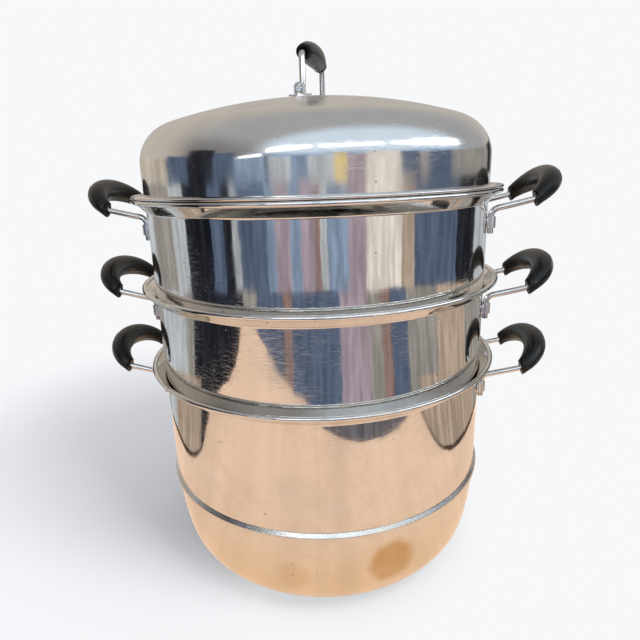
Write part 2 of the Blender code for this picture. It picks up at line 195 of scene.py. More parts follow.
def turned(section):
    """Turn a half section that starts and ends on the axis into a closed shell."""
    return lathed(held(section), SEGMENTS)


print("shells turn in", SEGMENTS, "segments")

# %% [markdown]
# ## The funnel rim
# Every vessel ends in the same rim: a cone that opens outwards and a bead rolled from the sheet's own edge. The
# vessel above stands in the cone. The bead is an arc, and the cone runs off it as its tangent offset by the sheet.

# %% Funnel rim
BEAD_STEPS = 20
CORNER_STEPS = 5
INNER_BEND_RADIUS = 0.0012
OUTER_BEND_RADIUS = 0.0022


def rim_lines():
    """Bead centre, outer bend, cone direction and inward normal, with the rim's top at zero."""
    bead = Vector((RIM_RADIUS - BEAD_RADIUS, -BEAD_RADIUS))
    bend = Vector((BODY_RADIUS, -FUNNEL_DEPTH))
    along = (bead - bend).normalized()
    return bead, bend, along, Vector((-along.y, along.x))


def fillet(before, corner, after, radius):
    """Centre of the arc that rounds a corner, and the ways from there to the arc's two ends."""
    back = (before - corner).normalized()
    ahead = (after - corner).normalized()
    half = back.angle(ahead) / 2.0
    centre = corner + (back + ahead).normalized() * (radius / math.sin(half))
    reach = radius / math.tan(half)
    return centre, corner + back * reach - centre, corner + ahead * reach - centre


def softened(before, corner, after, radius):
    """A bend of the given radius in place of a corner of the section."""
    centre, first, last = fillet(before, corner, after, radius)
    sweep_angle = first.angle_signed(last)
    turns = [Matrix.Rotation(-sweep_angle * step / CORNER_STEPS, 2) for step in range(CORNER_STEPS + 1)]
    return [centre + turn @ first for turn in turns]


def funnel_rim(rim_height, wall_foot):
    """Section over the rolled rim, from inside the wall to outside it."""
    bead, bend, along, inward = rim_lines()
    reach = (-SHEET - inward.x * SHEET) / along.x
    inner_bend = bend + inward * SHEET + along * reach
    entry = inward * SHEET - along * math.sqrt(BEAD_RADIUS ** 2 - SHEET ** 2)
    start = math.degrees(math.atan2(entry.y, entry.x)) % 360.0
    stop = math.degrees(math.atan2(-along.y, -along.x))
    roll = arc(bead, BEAD_RADIUS, start, stop, BEAD_STEPS)
    foot = wall_foot - rim_height
    inside = softened(Vector((BODY_RADIUS - SHEET, foot)), inner_bend, roll[0], INNER_BEND_RADIUS)
    outside = softened(roll[-1], bend, Vector((BODY_RADIUS, foot)), OUTER_BEND_RADIUS)
    lift = Vector((0.0, rim_height))
    return [point + lift for point in [*inside, *roll, *outside]]


print("funnel", round(RIM_RADIUS - BODY_RADIUS, 4), "wide and", FUNNEL_DEPTH, "deep")

# %% [markdown]
# ## Noise as a surface: shared effects
# Three effects recur on all the metal, so each is a node group, built once and placed in each material with its
# own values. Thin sheet is never quite true, and its slow waves bend every reflection. Use leaves hairlines in all
# directions, which catch light where the mirror is dark. Water and fingers leave soft marks that dull the polish.
# Each group reads the piece's own coordinates, so the marks stay on the piece when it is lifted.

# %% Node helpers
def add_node(tree, kind, values=None, **settings):
    """Add a node, set its properties, then its input sockets by name or number."""
    node = tree.nodes.new(kind)
    for key, value in settings.items():
        setattr(node, key, value)
    for key, value in (values or {}).items():
        if hasattr(value, "is_output"):
            tree.links.new(value, node.inputs[key])
        else:
            node.inputs[key].default_value = value
    return node


def math_node(tree, operation, first, second=0.0, third=0.0, clamp=False):
    """A Math node on sockets or numbers; returns its output socket."""
    values = {0: first, 1: second, 2: third}
    return add_node(tree, "ShaderNodeMath", values, operation=operation, use_clamp=clamp).outputs[0]


def vector_math(tree, operation, *vectors, output="Vector"):
    """A Vector Math node on sockets or vectors; returns one of its output sockets."""
    return add_node(tree, "ShaderNodeVectorMath", dict(enumerate(vectors)), operation=operation).outputs[output]


def own_place(tree):
    """The piece's own coordinates, on which its marks stay when it moves."""
    return add_node(tree, "ShaderNodeTexCoord").outputs["Object"]


def height_of(tree, place):
    """Height above the base."""
    return add_node(tree, "ShaderNodeSeparateXYZ", {"Vector": place}).outputs["Z"]


def ramp_between(tree, value, low, high):
    """Zero below low, one above high, and a soft step between."""
    values = {"Value": value, "From Min": low, "From Max": high}
    return add_node(tree, "ShaderNodeMapRange", values, interpolation_type="SMOOTHSTEP").outputs["Result"]


def noise(tree, vector, scale, detail=2.0, roughness=0.5):
    """A noise value for a vector socket."""
    values = {"Vector": vector, "Scale": scale, "Detail": detail, "Roughness": roughness}
    return add_node(tree, "ShaderNodeTexNoise", values).outputs["Fac"]


def stretched(tree, vector, rotation, scale):
    """Coordinates turned and stretched for streaks."""
    values = {"Vector": vector, "Rotation": [math.radians(angle) for angle in rotation], "Scale": scale}
    return add_node(tree, "ShaderNodeMapping", values).outputs["Vector"]


def blend_colours(tree, factor, first, second):
    """Mix two colours, given as sockets or as RGB tuples."""
    node = tree.nodes.new("ShaderNodeMix")
    node.data_type = "RGBA"
    pairs = ((node.inputs["Factor"], factor), (node.inputs[6], first), (node.inputs[7], second))
    for socket, value in pairs:
        if hasattr(value, "is_output"):
            tree.links.new(value, socket)
        elif isinstance(value, tuple):
            socket.default_value = (*value, 1.0)
        else:
            socket.default_value = value
    return node.outputs[2]


def new_group(name, inputs, outputs):
    """A shader node group with named inputs and outputs; returns it with its two end nodes."""
    group = bpy.data.node_groups.new(name, "ShaderNodeTree")
    for label, kind, value in inputs:
        socket = group.interface.new_socket(label, in_out="INPUT", socket_type=kind)
        if value is not None:
            socket.default_value = value
    for label, kind in outputs:
        group.interface.new_socket(label, in_out="OUTPUT", socket_type=kind)
    return group, group.nodes.new("NodeGroupInput"), group.nodes.new("NodeGroupOutput")


FLOAT = "NodeSocketFloat"
VECTOR = "NodeSocketVector"
print("helpers ready")

# %% Sheet waves
UPRIGHT_STRETCH = (1.0, 1.0, 0.42)
RIPPLE_SCALE = 46.0

waves_group, given, result = new_group(
    "sheet_waves",
    [("Vector", VECTOR, None), ("Upright Scale", FLOAT, 9.0), ("Ripple", FLOAT, 0.35)],
    [("Height", FLOAT)])
upright = stretched(waves_group, given.outputs["Vector"], (0, 0, 0), UPRIGHT_STRETCH)
slow = noise(waves_group, upright, given.outputs["Upright Scale"], 1.0)
ripple = noise(waves_group, given.outputs["Vector"], RIPPLE_SCALE, 1.0)
ripple = math_node(waves_group, "MULTIPLY", ripple, given.outputs["Ripple"])
waves_group.links.new(math_node(waves_group, "ADD", slow, ripple), result.inputs["Height"])
print(waves_group.name, "has", len(waves_group.nodes), "nodes")

# %% Hairline scratches
SCRATCH_LAYS = (((4, 9, 0), (110.0, 110.0, 1900.0)), ((0, 38, 15), (120.0, 120.0, 2000.0)),
                ((18, -47, 40), (130.0, 130.0, 2100.0)), ((74, 10, -20), (100.0, 100.0, 1900.0)))
WORN_SCALE = 17.0
WORN_PATCH = (0.34, 0.70)
LINE_EDGE = (0.60, 0.72)

hairline_group, given, result = new_group(
    "hairline_scratches",
    [("Vector", VECTOR, None), ("Amount", FLOAT, 0.5)],
    [("Mask", FLOAT), ("Height", FLOAT)])
patches = noise(hairline_group, given.outputs["Vector"], WORN_SCALE)
patches = ramp_between(hairline_group, patches, *WORN_PATCH)
total = None
for rotation, scale in SCRATCH_LAYS:
    lay = stretched(hairline_group, given.outputs["Vector"], rotation, scale)
    lines = noise(hairline_group, lay, 1.0, 1.0)
    lines = ramp_between(hairline_group, lines, *LINE_EDGE)
    total = lines if total is None else math_node(hairline_group, "MAXIMUM", total, lines)
worn = math_node(hairline_group, "MULTIPLY", total, patches)
mask = math_node(hairline_group, "MULTIPLY", worn, given.outputs["Amount"], clamp=True)
hairline_group.links.new(mask, result.inputs["Mask"])
hairline_group.links.new(total, result.inputs["Height"])
print(hairline_group.name, "lays", len(SCRATCH_LAYS), "directions of scratches")

# %% Water marks and smears
SMEAR_DETAIL = (5.0, 0.62)
SMEAR_EDGE = (0.44, 0.68)
SPECK_CELLS = 150.0
SPECK_REACH = 0.19
SPECK_EDGE = 0.05
CELLS_WITHOUT_SPECK = 0.80

marks_group, given, result = new_group(
    "water_marks",
    [("Vector", VECTOR, None), ("Scale", FLOAT, 14.0)],
    [("Smear", FLOAT), ("Speck", FLOAT)])
smear = noise(marks_group, given.outputs["Vector"], given.outputs["Scale"], *SMEAR_DETAIL)
marks_group.links.new(ramp_between(marks_group, smear, *SMEAR_EDGE), result.inputs["Smear"])
cells = add_node(marks_group, "ShaderNodeTexVoronoi", {"Vector": given.outputs["Vector"], "Scale": SPECK_CELLS})
chance = add_node(marks_group, "ShaderNodeSeparateColor", {"Color": cells.outputs["Color"]})
limit = math_node(marks_group, "MULTIPLY", chance.outputs["Green"], SPECK_REACH)
near = math_node(marks_group, "SUBTRACT", limit, cells.outputs["Distance"])
dot = ramp_between(marks_group, near, 0.0, SPECK_EDGE)
chosen = math_node(marks_group, "GREATER_THAN", chance.outputs["Red"], CELLS_WITHOUT_SPECK)
marks_group.links.new(math_node(marks_group, "MULTIPLY", dot, chosen), result.inputs["Speck"])
print(marks_group.name, "gives smears and specks")

# %% [markdown]
# ## Steel
# Polished stainless steel is a plain metal: metallic 1, a grey that leans to yellow, and a low roughness. What
# makes it read as a used pot is where the roughness rises and how the normal wanders. The same recipe serves the
# pot, the tiers, the lid, the wires and the straps, with other values for each.

# %% Steel recipe
SCRATCH_COLOUR = (0.86, 0.87, 0.88)
SPECK_COLOUR = (0.30, 0.26, 0.22)
MARK_COVER = 0.55
SCRATCH_ROUGHNESS = 0.35
SPECK_ROUGHNESS = 0.20
SCRATCH_STRENGTH = 0.20
SCRATCH_DEPTH = 0.000004


def principled(name, metallic):
    """A material with one Principled shader; returns it with its node tree and the shader."""
    material = bpy.data.materials.new(name)
    material.use_nodes = True
    shader = material.node_tree.nodes["Principled BSDF"]
    shader.inputs["Metallic"].default_value = metallic
    return material, material.node_tree, shader


def effect(tree, group, **values):
    """One of the shared effects, placed in a material with its own values."""
    named = {key.replace("_", " ").title(): value for key, value in values.items()}
    return add_node(tree, "ShaderNodeGroup", named, node_tree=group)


def steel(name, colour, dull, polish, wave, hairline, waves=9.0, tinted=None, satin=None):
    """Stainless steel with sheet waves, hairlines and marks; tinted changes its colour, satin dulls it."""
    material, tree, shader = principled(name, 1.0)
    place = own_place(tree)
    sheet = effect(tree, waves_group, vector=place, upright_scale=waves)
    lines = effect(tree, hairline_group, vector=place, amount=hairline)
    marks = effect(tree, marks_group, vector=place)
    scratch, smear, speck = lines.outputs["Mask"], marks.outputs["Smear"], marks.outputs["Speck"]

    base = blend_colours(tree, smear, colour, dull)
    if tinted:
        base = tinted(tree, place, base)
    base = blend_colours(tree, math_node(tree, "MULTIPLY", scratch, MARK_COVER), base, SCRATCH_COLOUR)
    base = blend_colours(tree, math_node(tree, "MULTIPLY", speck, MARK_COVER), base, SPECK_COLOUR)
    tree.links.new(base, shader.inputs["Base Color"])

    gloss, dim = polish
    rough = math_node(tree, "MULTIPLY_ADD", smear, dim - gloss, gloss)
    if satin:
        rough = math_node(tree, "ADD", rough, satin(tree, place))
    rough = math_node(tree, "MULTIPLY_ADD", scratch, SCRATCH_ROUGHNESS, rough)
    rough = math_node(tree, "MULTIPLY_ADD", speck, SPECK_ROUGHNESS, rough, clamp=True)
    tree.links.new(rough, shader.inputs["Roughness"])

    bend = add_node(tree, "ShaderNodeBump", {
        "Strength": 1.0, "Distance": wave, "Height": sheet.outputs["Height"]})
    fine = add_node(tree, "ShaderNodeBump", {
        "Strength": SCRATCH_STRENGTH, "Distance": SCRATCH_DEPTH, "Height": lines.outputs["Height"],
        "Normal": bend.outputs["Normal"]})
    tree.links.new(fine.outputs["Normal"], shader.inputs["Normal"])
    return material


print("the recipe blends", [group.name for group in (waves_group, hairline_group, marks_group)])

# %% [markdown]
# ## Heat and rubbing
# The pot's belly has been over a flame, so it has a straw-coloured heat tint towards its base, grey clouds and two
# brown scorch marks. Its pressed ring is rubbed by the grate and by other pots. Cloths and hands have dulled the
# lid's crown. These could be painted by hand on a picture; here each is a height or a distance with a noisy edge.

# %% Heat tint and scorch marks
MOTTLE_NOISE = (21.0, 4.0, 0.6)
CLOUD_NOISE = (19.0, 6.0, 0.78)
CLOUD_EDGE = (0.42, 0.72)
CLOUD_COVER = 0.60
CLOUD_TINT = (0.62, 0.57, 0.50)
STRAW_TINT = (0.77, 0.65, 0.46)
STRAW_REACH = (0.15, 0.02)
STRAW_WANDER = 0.05
SCORCH_TINT = (0.55, 0.37, 0.155)
SCORCH_MARKS = (((0.0657, -0.1323, 0.0526), 0.0205, 0.85), ((-0.0139, -0.1440, 0.0460), 0.0150, 0.30))
SCORCH_NOISE = (60.0, 5.0, 0.7)
SCORCH_NOISE_SHARE = 0.6
SCORCH_RAGGED = 0.018
SCORCH_OUTER = 0.019
SCORCH_INNER = 0.008
SCORCH_GAPS = 0.45


def scorched(tree, place, base):
    """Straw tint towards the pot's base, grey clouds, and scorch marks low on its front."""
    mottle = noise(tree, place, *MOTTLE_NOISE)
    cloud = ramp_between(tree, noise(tree, place, *CLOUD_NOISE), *CLOUD_EDGE)
    base = blend_colours(tree, math_node(tree, "MULTIPLY", cloud, CLOUD_COVER), base, CLOUD_TINT)
    height = math_node(tree, "MULTIPLY_ADD", mottle, STRAW_WANDER, height_of(tree, place))
    base = blend_colours(tree, ramp_between(tree, height, *STRAW_REACH), base, STRAW_TINT)
    rough_edge = noise(tree, place, *SCORCH_NOISE)
    rough_edge = math_node(tree, "MULTIPLY_ADD", rough_edge, SCORCH_NOISE_SHARE, mottle)
    patchy = math_node(tree, "MULTIPLY_ADD", cloud, -SCORCH_GAPS, 1.0)
    for spot, reach, depth in SCORCH_MARKS:
        offset = vector_math(tree, "DISTANCE", place, spot, output="Value")
        ragged = math_node(tree, "MULTIPLY_ADD", rough_edge, SCORCH_RAGGED, offset)
        mark = ramp_between(tree, ragged, reach + SCORCH_OUTER, reach + SCORCH_INNER)
        mark = math_node(tree, "MULTIPLY", math_node(tree, "MULTIPLY", mark, patchy), depth)
        base = blend_colours(tree, mark, base, SCORCH_TINT)
    return base


print("scorch marks:", len(SCORCH_MARKS))

# %% Satin places
RING_SATIN = 0.22
RING_FADE = (1.15 * RING_HALF_HEIGHT, 0.75 * RING_HALF_HEIGHT)
CROWN_SATIN = 0.20
CROWN_FADE = (LID_APEX - 0.036, LID_APEX - 0.002)
CROWN_NOISE = (26.0, 4.0, 0.6)
CROWN_WANDER = 0.012


def satin_ring(tree, place):
    """Extra roughness on the pressed ring."""
    off_centre = math_node(tree, "SUBTRACT", height_of(tree, place), RING_HEIGHT)
    off_centre = math_node(tree, "ABSOLUTE", off_centre)
    near = ramp_between(tree, off_centre, *RING_FADE)
    return math_node(tree, "MULTIPLY", near, RING_SATIN)


def satin_crown(tree, place):
    """Extra roughness from the lid's shoulder upwards."""
    cloud = noise(tree, place, *CROWN_NOISE)
    height = math_node(tree, "MULTIPLY_ADD", cloud, CROWN_WANDER, height_of(tree, place))
    return math_node(tree, "MULTIPLY", ramp_between(tree, height, *CROWN_FADE), CROWN_SATIN)


print("satin adds", RING_SATIN, "on the ring and", CROWN_SATIN, "on the crown")

# %% The five steels
SHEET_STEEL = (0.80, 0.78, 0.75), (0.72, 0.71, 0.69)
WIRE_STEEL = (0.74, 0.73, 0.71), (0.66, 0.65, 0.63)
STRIP_STEEL = (0.82, 0.81, 0.79), (0.74, 0.73, 0.71)

pot_steel = steel("pot_steel", *SHEET_STEEL, (0.05, 0.10), 0.00035, 0.30, tinted=scorched, satin=satin_ring)
tier_steel = steel("tier_steel", *SHEET_STEEL, (0.05, 0.11), 0.00045, 0.60)
lid_steel = steel("lid_steel", *SHEET_STEEL, (0.09, 0.16), 0.00040, 0.50, satin=satin_crown)
wire_steel = steel("wire_steel", *WIRE_STEEL, (0.14, 0.24), 0.00010, 0.40, waves=60.0)
strap_steel = steel("strap_steel", *STRIP_STEEL, (0.26, 0.38), 0.00012, 0.40, waves=80.0)
print("steels:", ", ".join(m.name for m in (pot_steel, tier_steel, lid_steel, wire_steel, strap_steel)))

# %% [markdown]
# ## Black moulded grips
# The grips are phenolic resin, pressed in a two-part mould. The resin is a warm black with a dull gloss. Handling
# has polished it unevenly, and it is greyer along its scratches, where the skin of the moulding has worn.

# %% Bakelite
RESIN_BLACK = (0.0045, 0.0044, 0.0044)
RESIN_SMEARED = (0.011, 0.010, 0.010)
RESIN_WORN = (0.050, 0.049, 0.048)
RESIN_ROUGHNESS = 0.25
RESIN_WEAR = 0.10
RESIN_SHINE = 0.32
RESIN_SMEAR_SCALE = 36.0
RESIN_SCRATCHES = 0.5
WORN_COVER = 0.4
PEEL_SCALE = 380.0
PEEL_STRENGTH = 0.2
PEEL_DEPTH = 0.00008


def moulded_resin():
    """Black phenolic resin with a faint orange-peel surface, smears and greyed wear."""
    material, tree, shader = principled("black_bakelite", 0.0)
    shader.inputs["Specular IOR Level"].default_value = RESIN_SHINE
    place = own_place(tree)
    smear = effect(tree, marks_group, vector=place, scale=RESIN_SMEAR_SCALE).outputs["Smear"]
    scratch = effect(tree, hairline_group, vector=place, amount=RESIN_SCRATCHES).outputs["Mask"]
    base = blend_colours(tree, smear, RESIN_BLACK, RESIN_SMEARED)
    base = blend_colours(tree, math_node(tree, "MULTIPLY", scratch, WORN_COVER), base, RESIN_WORN)
    tree.links.new(base, shader.inputs["Base Color"])
    rough = math_node(tree, "MULTIPLY_ADD", smear, RESIN_WEAR, RESIN_ROUGHNESS)
    rough = math_node(tree, "MULTIPLY_ADD", scratch, RESIN_WEAR, rough)
    tree.links.new(rough, shader.inputs["Roughness"])
    peel = noise(tree, place, PEEL_SCALE)
    bump = add_node(tree, "ShaderNodeBump", {
        "Strength": PEEL_STRENGTH, "Distance": PEEL_DEPTH, "Height": peel})
    tree.links.new(bump.outputs["Normal"], shader.inputs["Normal"])
    return material


bakelite = moulded_resin()
print(bakelite.name, "roughness", RESIN_ROUGHNESS, "to", round(RESIN_ROUGHNESS + 2.0 * RESIN_WEAR, 2))

# %% [markdown]
# ## The pot
# A straight wall, a ring pressed outwards, a belly that leans in and a generous corner into the flat base. The
# ring slopes out to a soft crest, and the small hollow where it leaves the wall mirrors as a dark line. It lies in
# the sheet, so the inside has the same form one sheet thickness further in.

# %% Pot
RING_CREST_TOP = 0.0012
RING_CREST_FOOT = -0.0024
RING_PROUD = 0.0024
RING_BEND = 0.0014
RING_FOOT_BEND = 0.0012
BELLY_INSET = 0.0008
BELLY_LEAN = 12.0
BASE_CORNER_RADIUS = 0.0450


def pot_wall(offset):
    """Ring, belly and base corner, top to bottom, moved inwards by offset."""
    lean = math.radians(BELLY_LEAN)
    top = RING_HEIGHT - RING_HALF_HEIGHT
    joint = BASE_CORNER_RADIUS * (1.0 - math.sin(lean))
    belly_radius = (top - joint) / math.sin(lean)
    wall = BODY_RADIUS - BELLY_INSET
    joint_radius = wall - belly_radius * (1.0 - math.cos(lean))
    corner = Vector((joint_radius - BASE_CORNER_RADIUS * math.cos(lean), BASE_CORNER_RADIUS))
    belly = arc(Vector((wall - belly_radius, top)), belly_radius - offset, 0.0, -BELLY_LEAN, 18)
    base = arc(corner, BASE_CORNER_RADIUS - offset, -BELLY_LEAN, -90.0, 30)
    skin = BODY_RADIUS - offset
    above = Vector((skin, RING_HEIGHT + 2.0 * RING_HALF_HEIGHT))
    upper = Vector((skin, RING_HEIGHT + RING_HALF_HEIGHT))
    crest_top = Vector((skin + RING_PROUD, RING_HEIGHT + RING_CREST_TOP))
    crest_foot = Vector((skin + RING_PROUD, RING_HEIGHT + RING_CREST_FOOT))
    lower = Vector((skin - BELLY_INSET, top))
    return [
        *softened(above, upper, crest_top, RING_BEND),
        *softened(upper, crest_top, crest_foot, RING_BEND),
        *softened(crest_top, crest_foot, lower, RING_FOOT_BEND),
        *belly, *base[1:], Vector((0.0, offset))]


inside = pot_wall(SHEET)
outside = pot_wall(0.0)
outline = inside[::-1] + funnel_rim(RIM_HEIGHT["pot"], inside[0].y) + outside
pot = add_piece("pot_body", turned(outline), pot_steel, "pot", "pot_shell")
print(pot.name, "has", len(pot.data.polygons), "faces")

# %% [markdown]
# ## The two tiers
# A tier is one drawn sheet: wall, rounded step that sits in the funnel below, a narrower neck, and a floor that
# steam passes through. Its round holes lie in rings. They could be modelled one by one in the floor's mesh; a
# Boolean with one cutter of many upright rods says more plainly what the press does.

# %% Tiers
STEP_RADIUS = 0.0030
NECK_INSET = 0.0036
NECK_DEPTH = 0.0100
NECK_CORNER_RADIUS = 0.0025
HOLE_RADIUS = 0.0050
HOLE_PITCH = 0.0360
HOLE_RINGS = 3
HOLE_SIDES = 28


def tier_wall(offset):
    """Wall foot, step, neck and floor, top to bottom, moved inwards by offset; the rim's top is at zero."""
    floor = -TIER_DROP
    step = floor + NECK_DEPTH
    neck = BODY_RADIUS - NECK_INSET - offset
    step_centre = Vector((BODY_RADIUS - STEP_RADIUS, step + STEP_RADIUS))
    neck_centre = Vector((neck + offset - NECK_CORNER_RADIUS, floor + NECK_CORNER_RADIUS))
    return [
        *arc(step_centre, STEP_RADIUS - offset, 0.0, -90.0, 10),
        Vector((neck, step + offset)),
        *arc(neck_centre, NECK_CORNER_RADIUS - offset, 0.0, -90.0, 7),
        Vector((0.0, floor + offset)),
    ]


def hole_cutter():
    """Upright rods in rings of six, twelve and eighteen about one at the centre."""
    shape = bmesh.new()
    for ring in range(HOLE_RINGS + 1):
        count = max(1, 6 * ring)
        for index in range(count):
            angle = 2.0 * math.pi * index / count
            spot = Vector((math.cos(angle), math.sin(angle), 0.0)) * HOLE_PITCH * ring
            bmesh.ops.create_cone(shape, cap_ends=True, segments=HOLE_SIDES, radius1=HOLE_RADIUS,
                                  radius2=HOLE_RADIUS, depth=4.0 * SHEET, matrix=Matrix.Translation(spot))
    return object_from("hole_cutter", shape)


def applied(piece):
    """Replace a piece's mesh by the mesh that its modifiers make."""
    graph = bpy.context.evaluated_depsgraph_get()
    finished = bpy.data.meshes.new_from_object(piece.evaluated_get(graph))
    piece.modifiers.clear()
    piece.data = finished
    return piece


cutter = hole_cutter()
for vessel in ("lower_tier", "upper_tier"):
    lift = Vector((0.0, RIM_HEIGHT[vessel]))
    inside = [point + lift for point in tier_wall(SHEET)]
    outside = [point + lift for point in tier_wall(0.0)]
    outline = inside[::-1] + funnel_rim(RIM_HEIGHT[vessel], inside[0].y) + outside
    tier = add_piece(vessel + "_body", turned(outline),
                     tier_steel, vessel, vessel + "_shell")
    cutter.location.z = RIM_HEIGHT[vessel] - TIER_DROP + SHEET / 2.0
    bpy.context.view_layer.update()
    cut = tier.modifiers.new("steam_holes", "BOOLEAN")
    cut.operation = "DIFFERENCE"
    cut.object = cutter
    applied(tier)
    tier.data.set_sharp_from_angle(angle=math.radians(SHARP_ANGLE))
    print(tier.name, "has", len(tier.data.polygons), "faces")
bpy.data.objects.remove(cutter, do_unlink=True)

# %% [markdown]
# ## The lid
# The dome is a flat crown that runs into a tight shoulder and down to the rim. Two arcs that share a tangent give
# it without a corner. Below, a skirt hangs in the funnel and a hemmed flange lies on the bead.

# %% Lid
LID_RADIUS = 0.1510
LID_SHOULDER_HEIGHT = 0.0250
LID_SHOULDER_RADIUS = 0.0340
FUNNEL_PLAY = 0.0025
HEM_THICKNESS = 0.0022
HEM_WIDTH = 0.0030
HEM_EASE = 0.0002
VALLEY_BEND = 0.0006
RIDGE_BEND = 0.0008
LID_HEIGHT = LID_APEX - RIM_HEIGHT["upper_tier"]
LID_REACH = LID_RADIUS - LID_SHOULDER_RADIUS
LID_RISE = LID_HEIGHT - LID_SHOULDER_HEIGHT
CROWN_RADIUS = LID_REACH ** 2 + LID_RISE ** 2 - LID_SHOULDER_RADIUS ** 2
CROWN_RADIUS /= 2.0 * (LID_RISE - LID_SHOULDER_RADIUS)


def lid_dome(offset):
    """Crown and shoulder, from the axis outwards, moved inwards by offset."""
    meeting = math.degrees(math.atan2(CROWN_RADIUS - LID_RISE, LID_REACH))
    crown = arc(Vector((0.0, LID_HEIGHT - CROWN_RADIUS)), CROWN_RADIUS - offset, 90.0, meeting, 30)
    shoulder = arc(Vector((LID_REACH, LID_SHOULDER_HEIGHT)), LID_SHOULDER_RADIUS - offset, meeting, 0.0, 30)
    crown[0].x = 0.0
    return crown + shoulder[1:]


def lid_outline():
    """Half section of the lid, with the carrying rim's top at zero."""
    bead, _bend, along, inward = rim_lines()
    under = bead + inward * SHEET - Vector((FUNNEL_PLAY, 0.0))
    over = under + inward * SHEET

    def on_slope(origin, radius):
        return origin + along * ((radius - origin.x) / along.x)

    def at_height(origin, height):
        return origin + along * ((height - origin.y) / along.y)

    flange = GAP + SHEET
    hem = Vector((RIM_RADIUS - HEM_THICKNESS / 2.0, GAP + HEM_THICKNESS / 2.0))
    hem_inner = RIM_RADIUS - HEM_WIDTH
    valley = on_slope(over, LID_RADIUS)
    ridge = at_height(over, flange)
    outer_skin = lid_dome(0.0)
    return [
        *outer_skin,
        *softened(outer_skin[-1], valley, ridge, VALLEY_BEND),
        *softened(valley, ridge, Vector((hem_inner, flange)), RIDGE_BEND),
        Vector((hem_inner, flange)),
        Vector((hem_inner + HEM_EASE, GAP + HEM_THICKNESS - HEM_EASE)),
        *arc(hem, HEM_THICKNESS / 2.0, 100.0, -90.0, 12),
        at_height(under, GAP),
        on_slope(under, LID_RADIUS - SHEET),
        *lid_dome(SHEET)[::-1],
    ]


lift = Vector((0.0, RIM_HEIGHT["upper_tier"]))
lid = add_piece("lid_dome", turned([point + lift for point in lid_outline()]),
                lid_steel, "lid", "lid_shell")
print(lid.name, "crown radius", round(CROWN_RADIUS, 3), "and", len(lid.data.polygons), "faces")

# %% [markdown]
# ## Wires and grips
# A handle is one length of round wire: two feet that lie on the wall, two legs, and an arch that the grip is
# threaded on. A curve with a bevel would give a round wire too, but the grip has to swell, end in a lip and be
# bored along the same arch. So both are swept in bmesh from rings that share one start direction.

# %% Sweeping
WIRE_RADIUS = 0.0025
WIRE_CHAMFER = 0.0004
WIRE_SIDES = 18
BEND_STEPS = 8
ARCH_STEPS = 28


def mirrored(half):
    """Complete a path that ends on the plane y = 0 with its mirror image."""
    return half + [Vector((p.x, -p.y, p.z)) for p in reversed(half[:-1])]


def tangents(path):
    """Unit directions along a path."""
    last = len(path) - 1
    return [(path[min(i + 1, last)] - path[max(i - 1, 0)]).normalized() for i in range(last + 1)]


def rounded_corner(before, corner, after, radius):
    """Points round a corner between two straight runs in space."""
    centre, first, last = fillet(before, corner, after, radius)
    first, last = first.normalized(), last.normalized()
    return [centre + first.slerp(last, step / BEND_STEPS) * radius for step in range(BEND_STEPS + 1)]


def arch_points(centre, half_span, rise, start, steps):
    """Half of an elliptical arch, from its start angle to its middle on y = 0."""
    points = []
    for step in range(steps + 1):
        angle = math.radians(start + (90.0 - start) * step / steps)
        points.append(centre + Vector((0.0, half_span * math.cos(angle), 0.0)) + rise * math.sin(angle))
    points[-1].y = 0.0
    return points


def add_ring(shape, point, direction, side_on, spokes):
    """One ring of vertices; spokes are pairs of angle and radius."""
    first = (side_on - direction * side_on.dot(direction)).normalized()
    second = direction.cross(first)
    return [shape.verts.new(point + (first * math.cos(a) + second * math.sin(a)) * r) for a, r in spokes]


def join_rings(shape, rings, closed):
    """Faces between neighbouring rings, and from the last to the first if closed."""
    pairs = list(zip(rings, rings[1:]))
    if closed:
        pairs.append((rings[-1], rings[0]))
    count = len(rings[0])
    for near, far in pairs:
        for index in range(count):
            after = (index + 1) % count
            shape.faces.new((near[index], near[after], far[after], far[index]))


def wire_shape(path, side_on):
    """A round wire with a small chamfer at each cut end."""
    directions = tangents(path)
    stations = [
        (path[0], directions[0], WIRE_RADIUS - WIRE_CHAMFER),
        (path[0] + directions[0] * WIRE_CHAMFER, directions[0], WIRE_RADIUS),
        *((p, d, WIRE_RADIUS) for p, d in zip(path[1:-1], directions[1:-1])),
        (path[-1] - directions[-1] * WIRE_CHAMFER, directions[-1], WIRE_RADIUS),
        (path[-1], directions[-1], WIRE_RADIUS - WIRE_CHAMFER)]
    shape = bmesh.new()
    turns = [2.0 * math.pi * index / WIRE_SIDES for index in range(WIRE_SIDES)]
    rings = [add_ring(shape, p, d, side_on, [(a, r) for a in turns]) for p, d, r in stations]
    join_rings(shape, rings, closed=False)
    shape.faces.new(rings[0][::-1])
    shape.faces.new(rings[-1])
    return shape


print("wire", 2000.0 * WIRE_RADIUS, "mm thick")

# %% [markdown]
# The grip's section is a little flatter in the plane of the arch, with a fine raised seam there, where the two
# halves of the mould met. It is thickest at the crest and thins to a neck. Each end has a small lip and a shallow
# dish round the wire.

# %% Grip shape
SEAM_HEIGHT = 0.00018
SEAM_HALF_WIDTH = 0.8
SEAM_FOOT = 3.5
GRIP_OVAL = 0.951
GRIP_END_RADIUS = 0.0062
GRIP_NECK_RADIUS = 0.0057
GRIP_FULLNESS = 1.05
GRIP_LIP = 0.0016
LIP_ROUND = 0.0006
DISH_DEPTH = 0.0012
DISH_RIM = 0.0011
DISH_FLOOR = 0.0006
SKIN_STEPS = 14
LIP_STEPS = 6
LIP_START = -60.0
LIP_SWEEP = 150.0


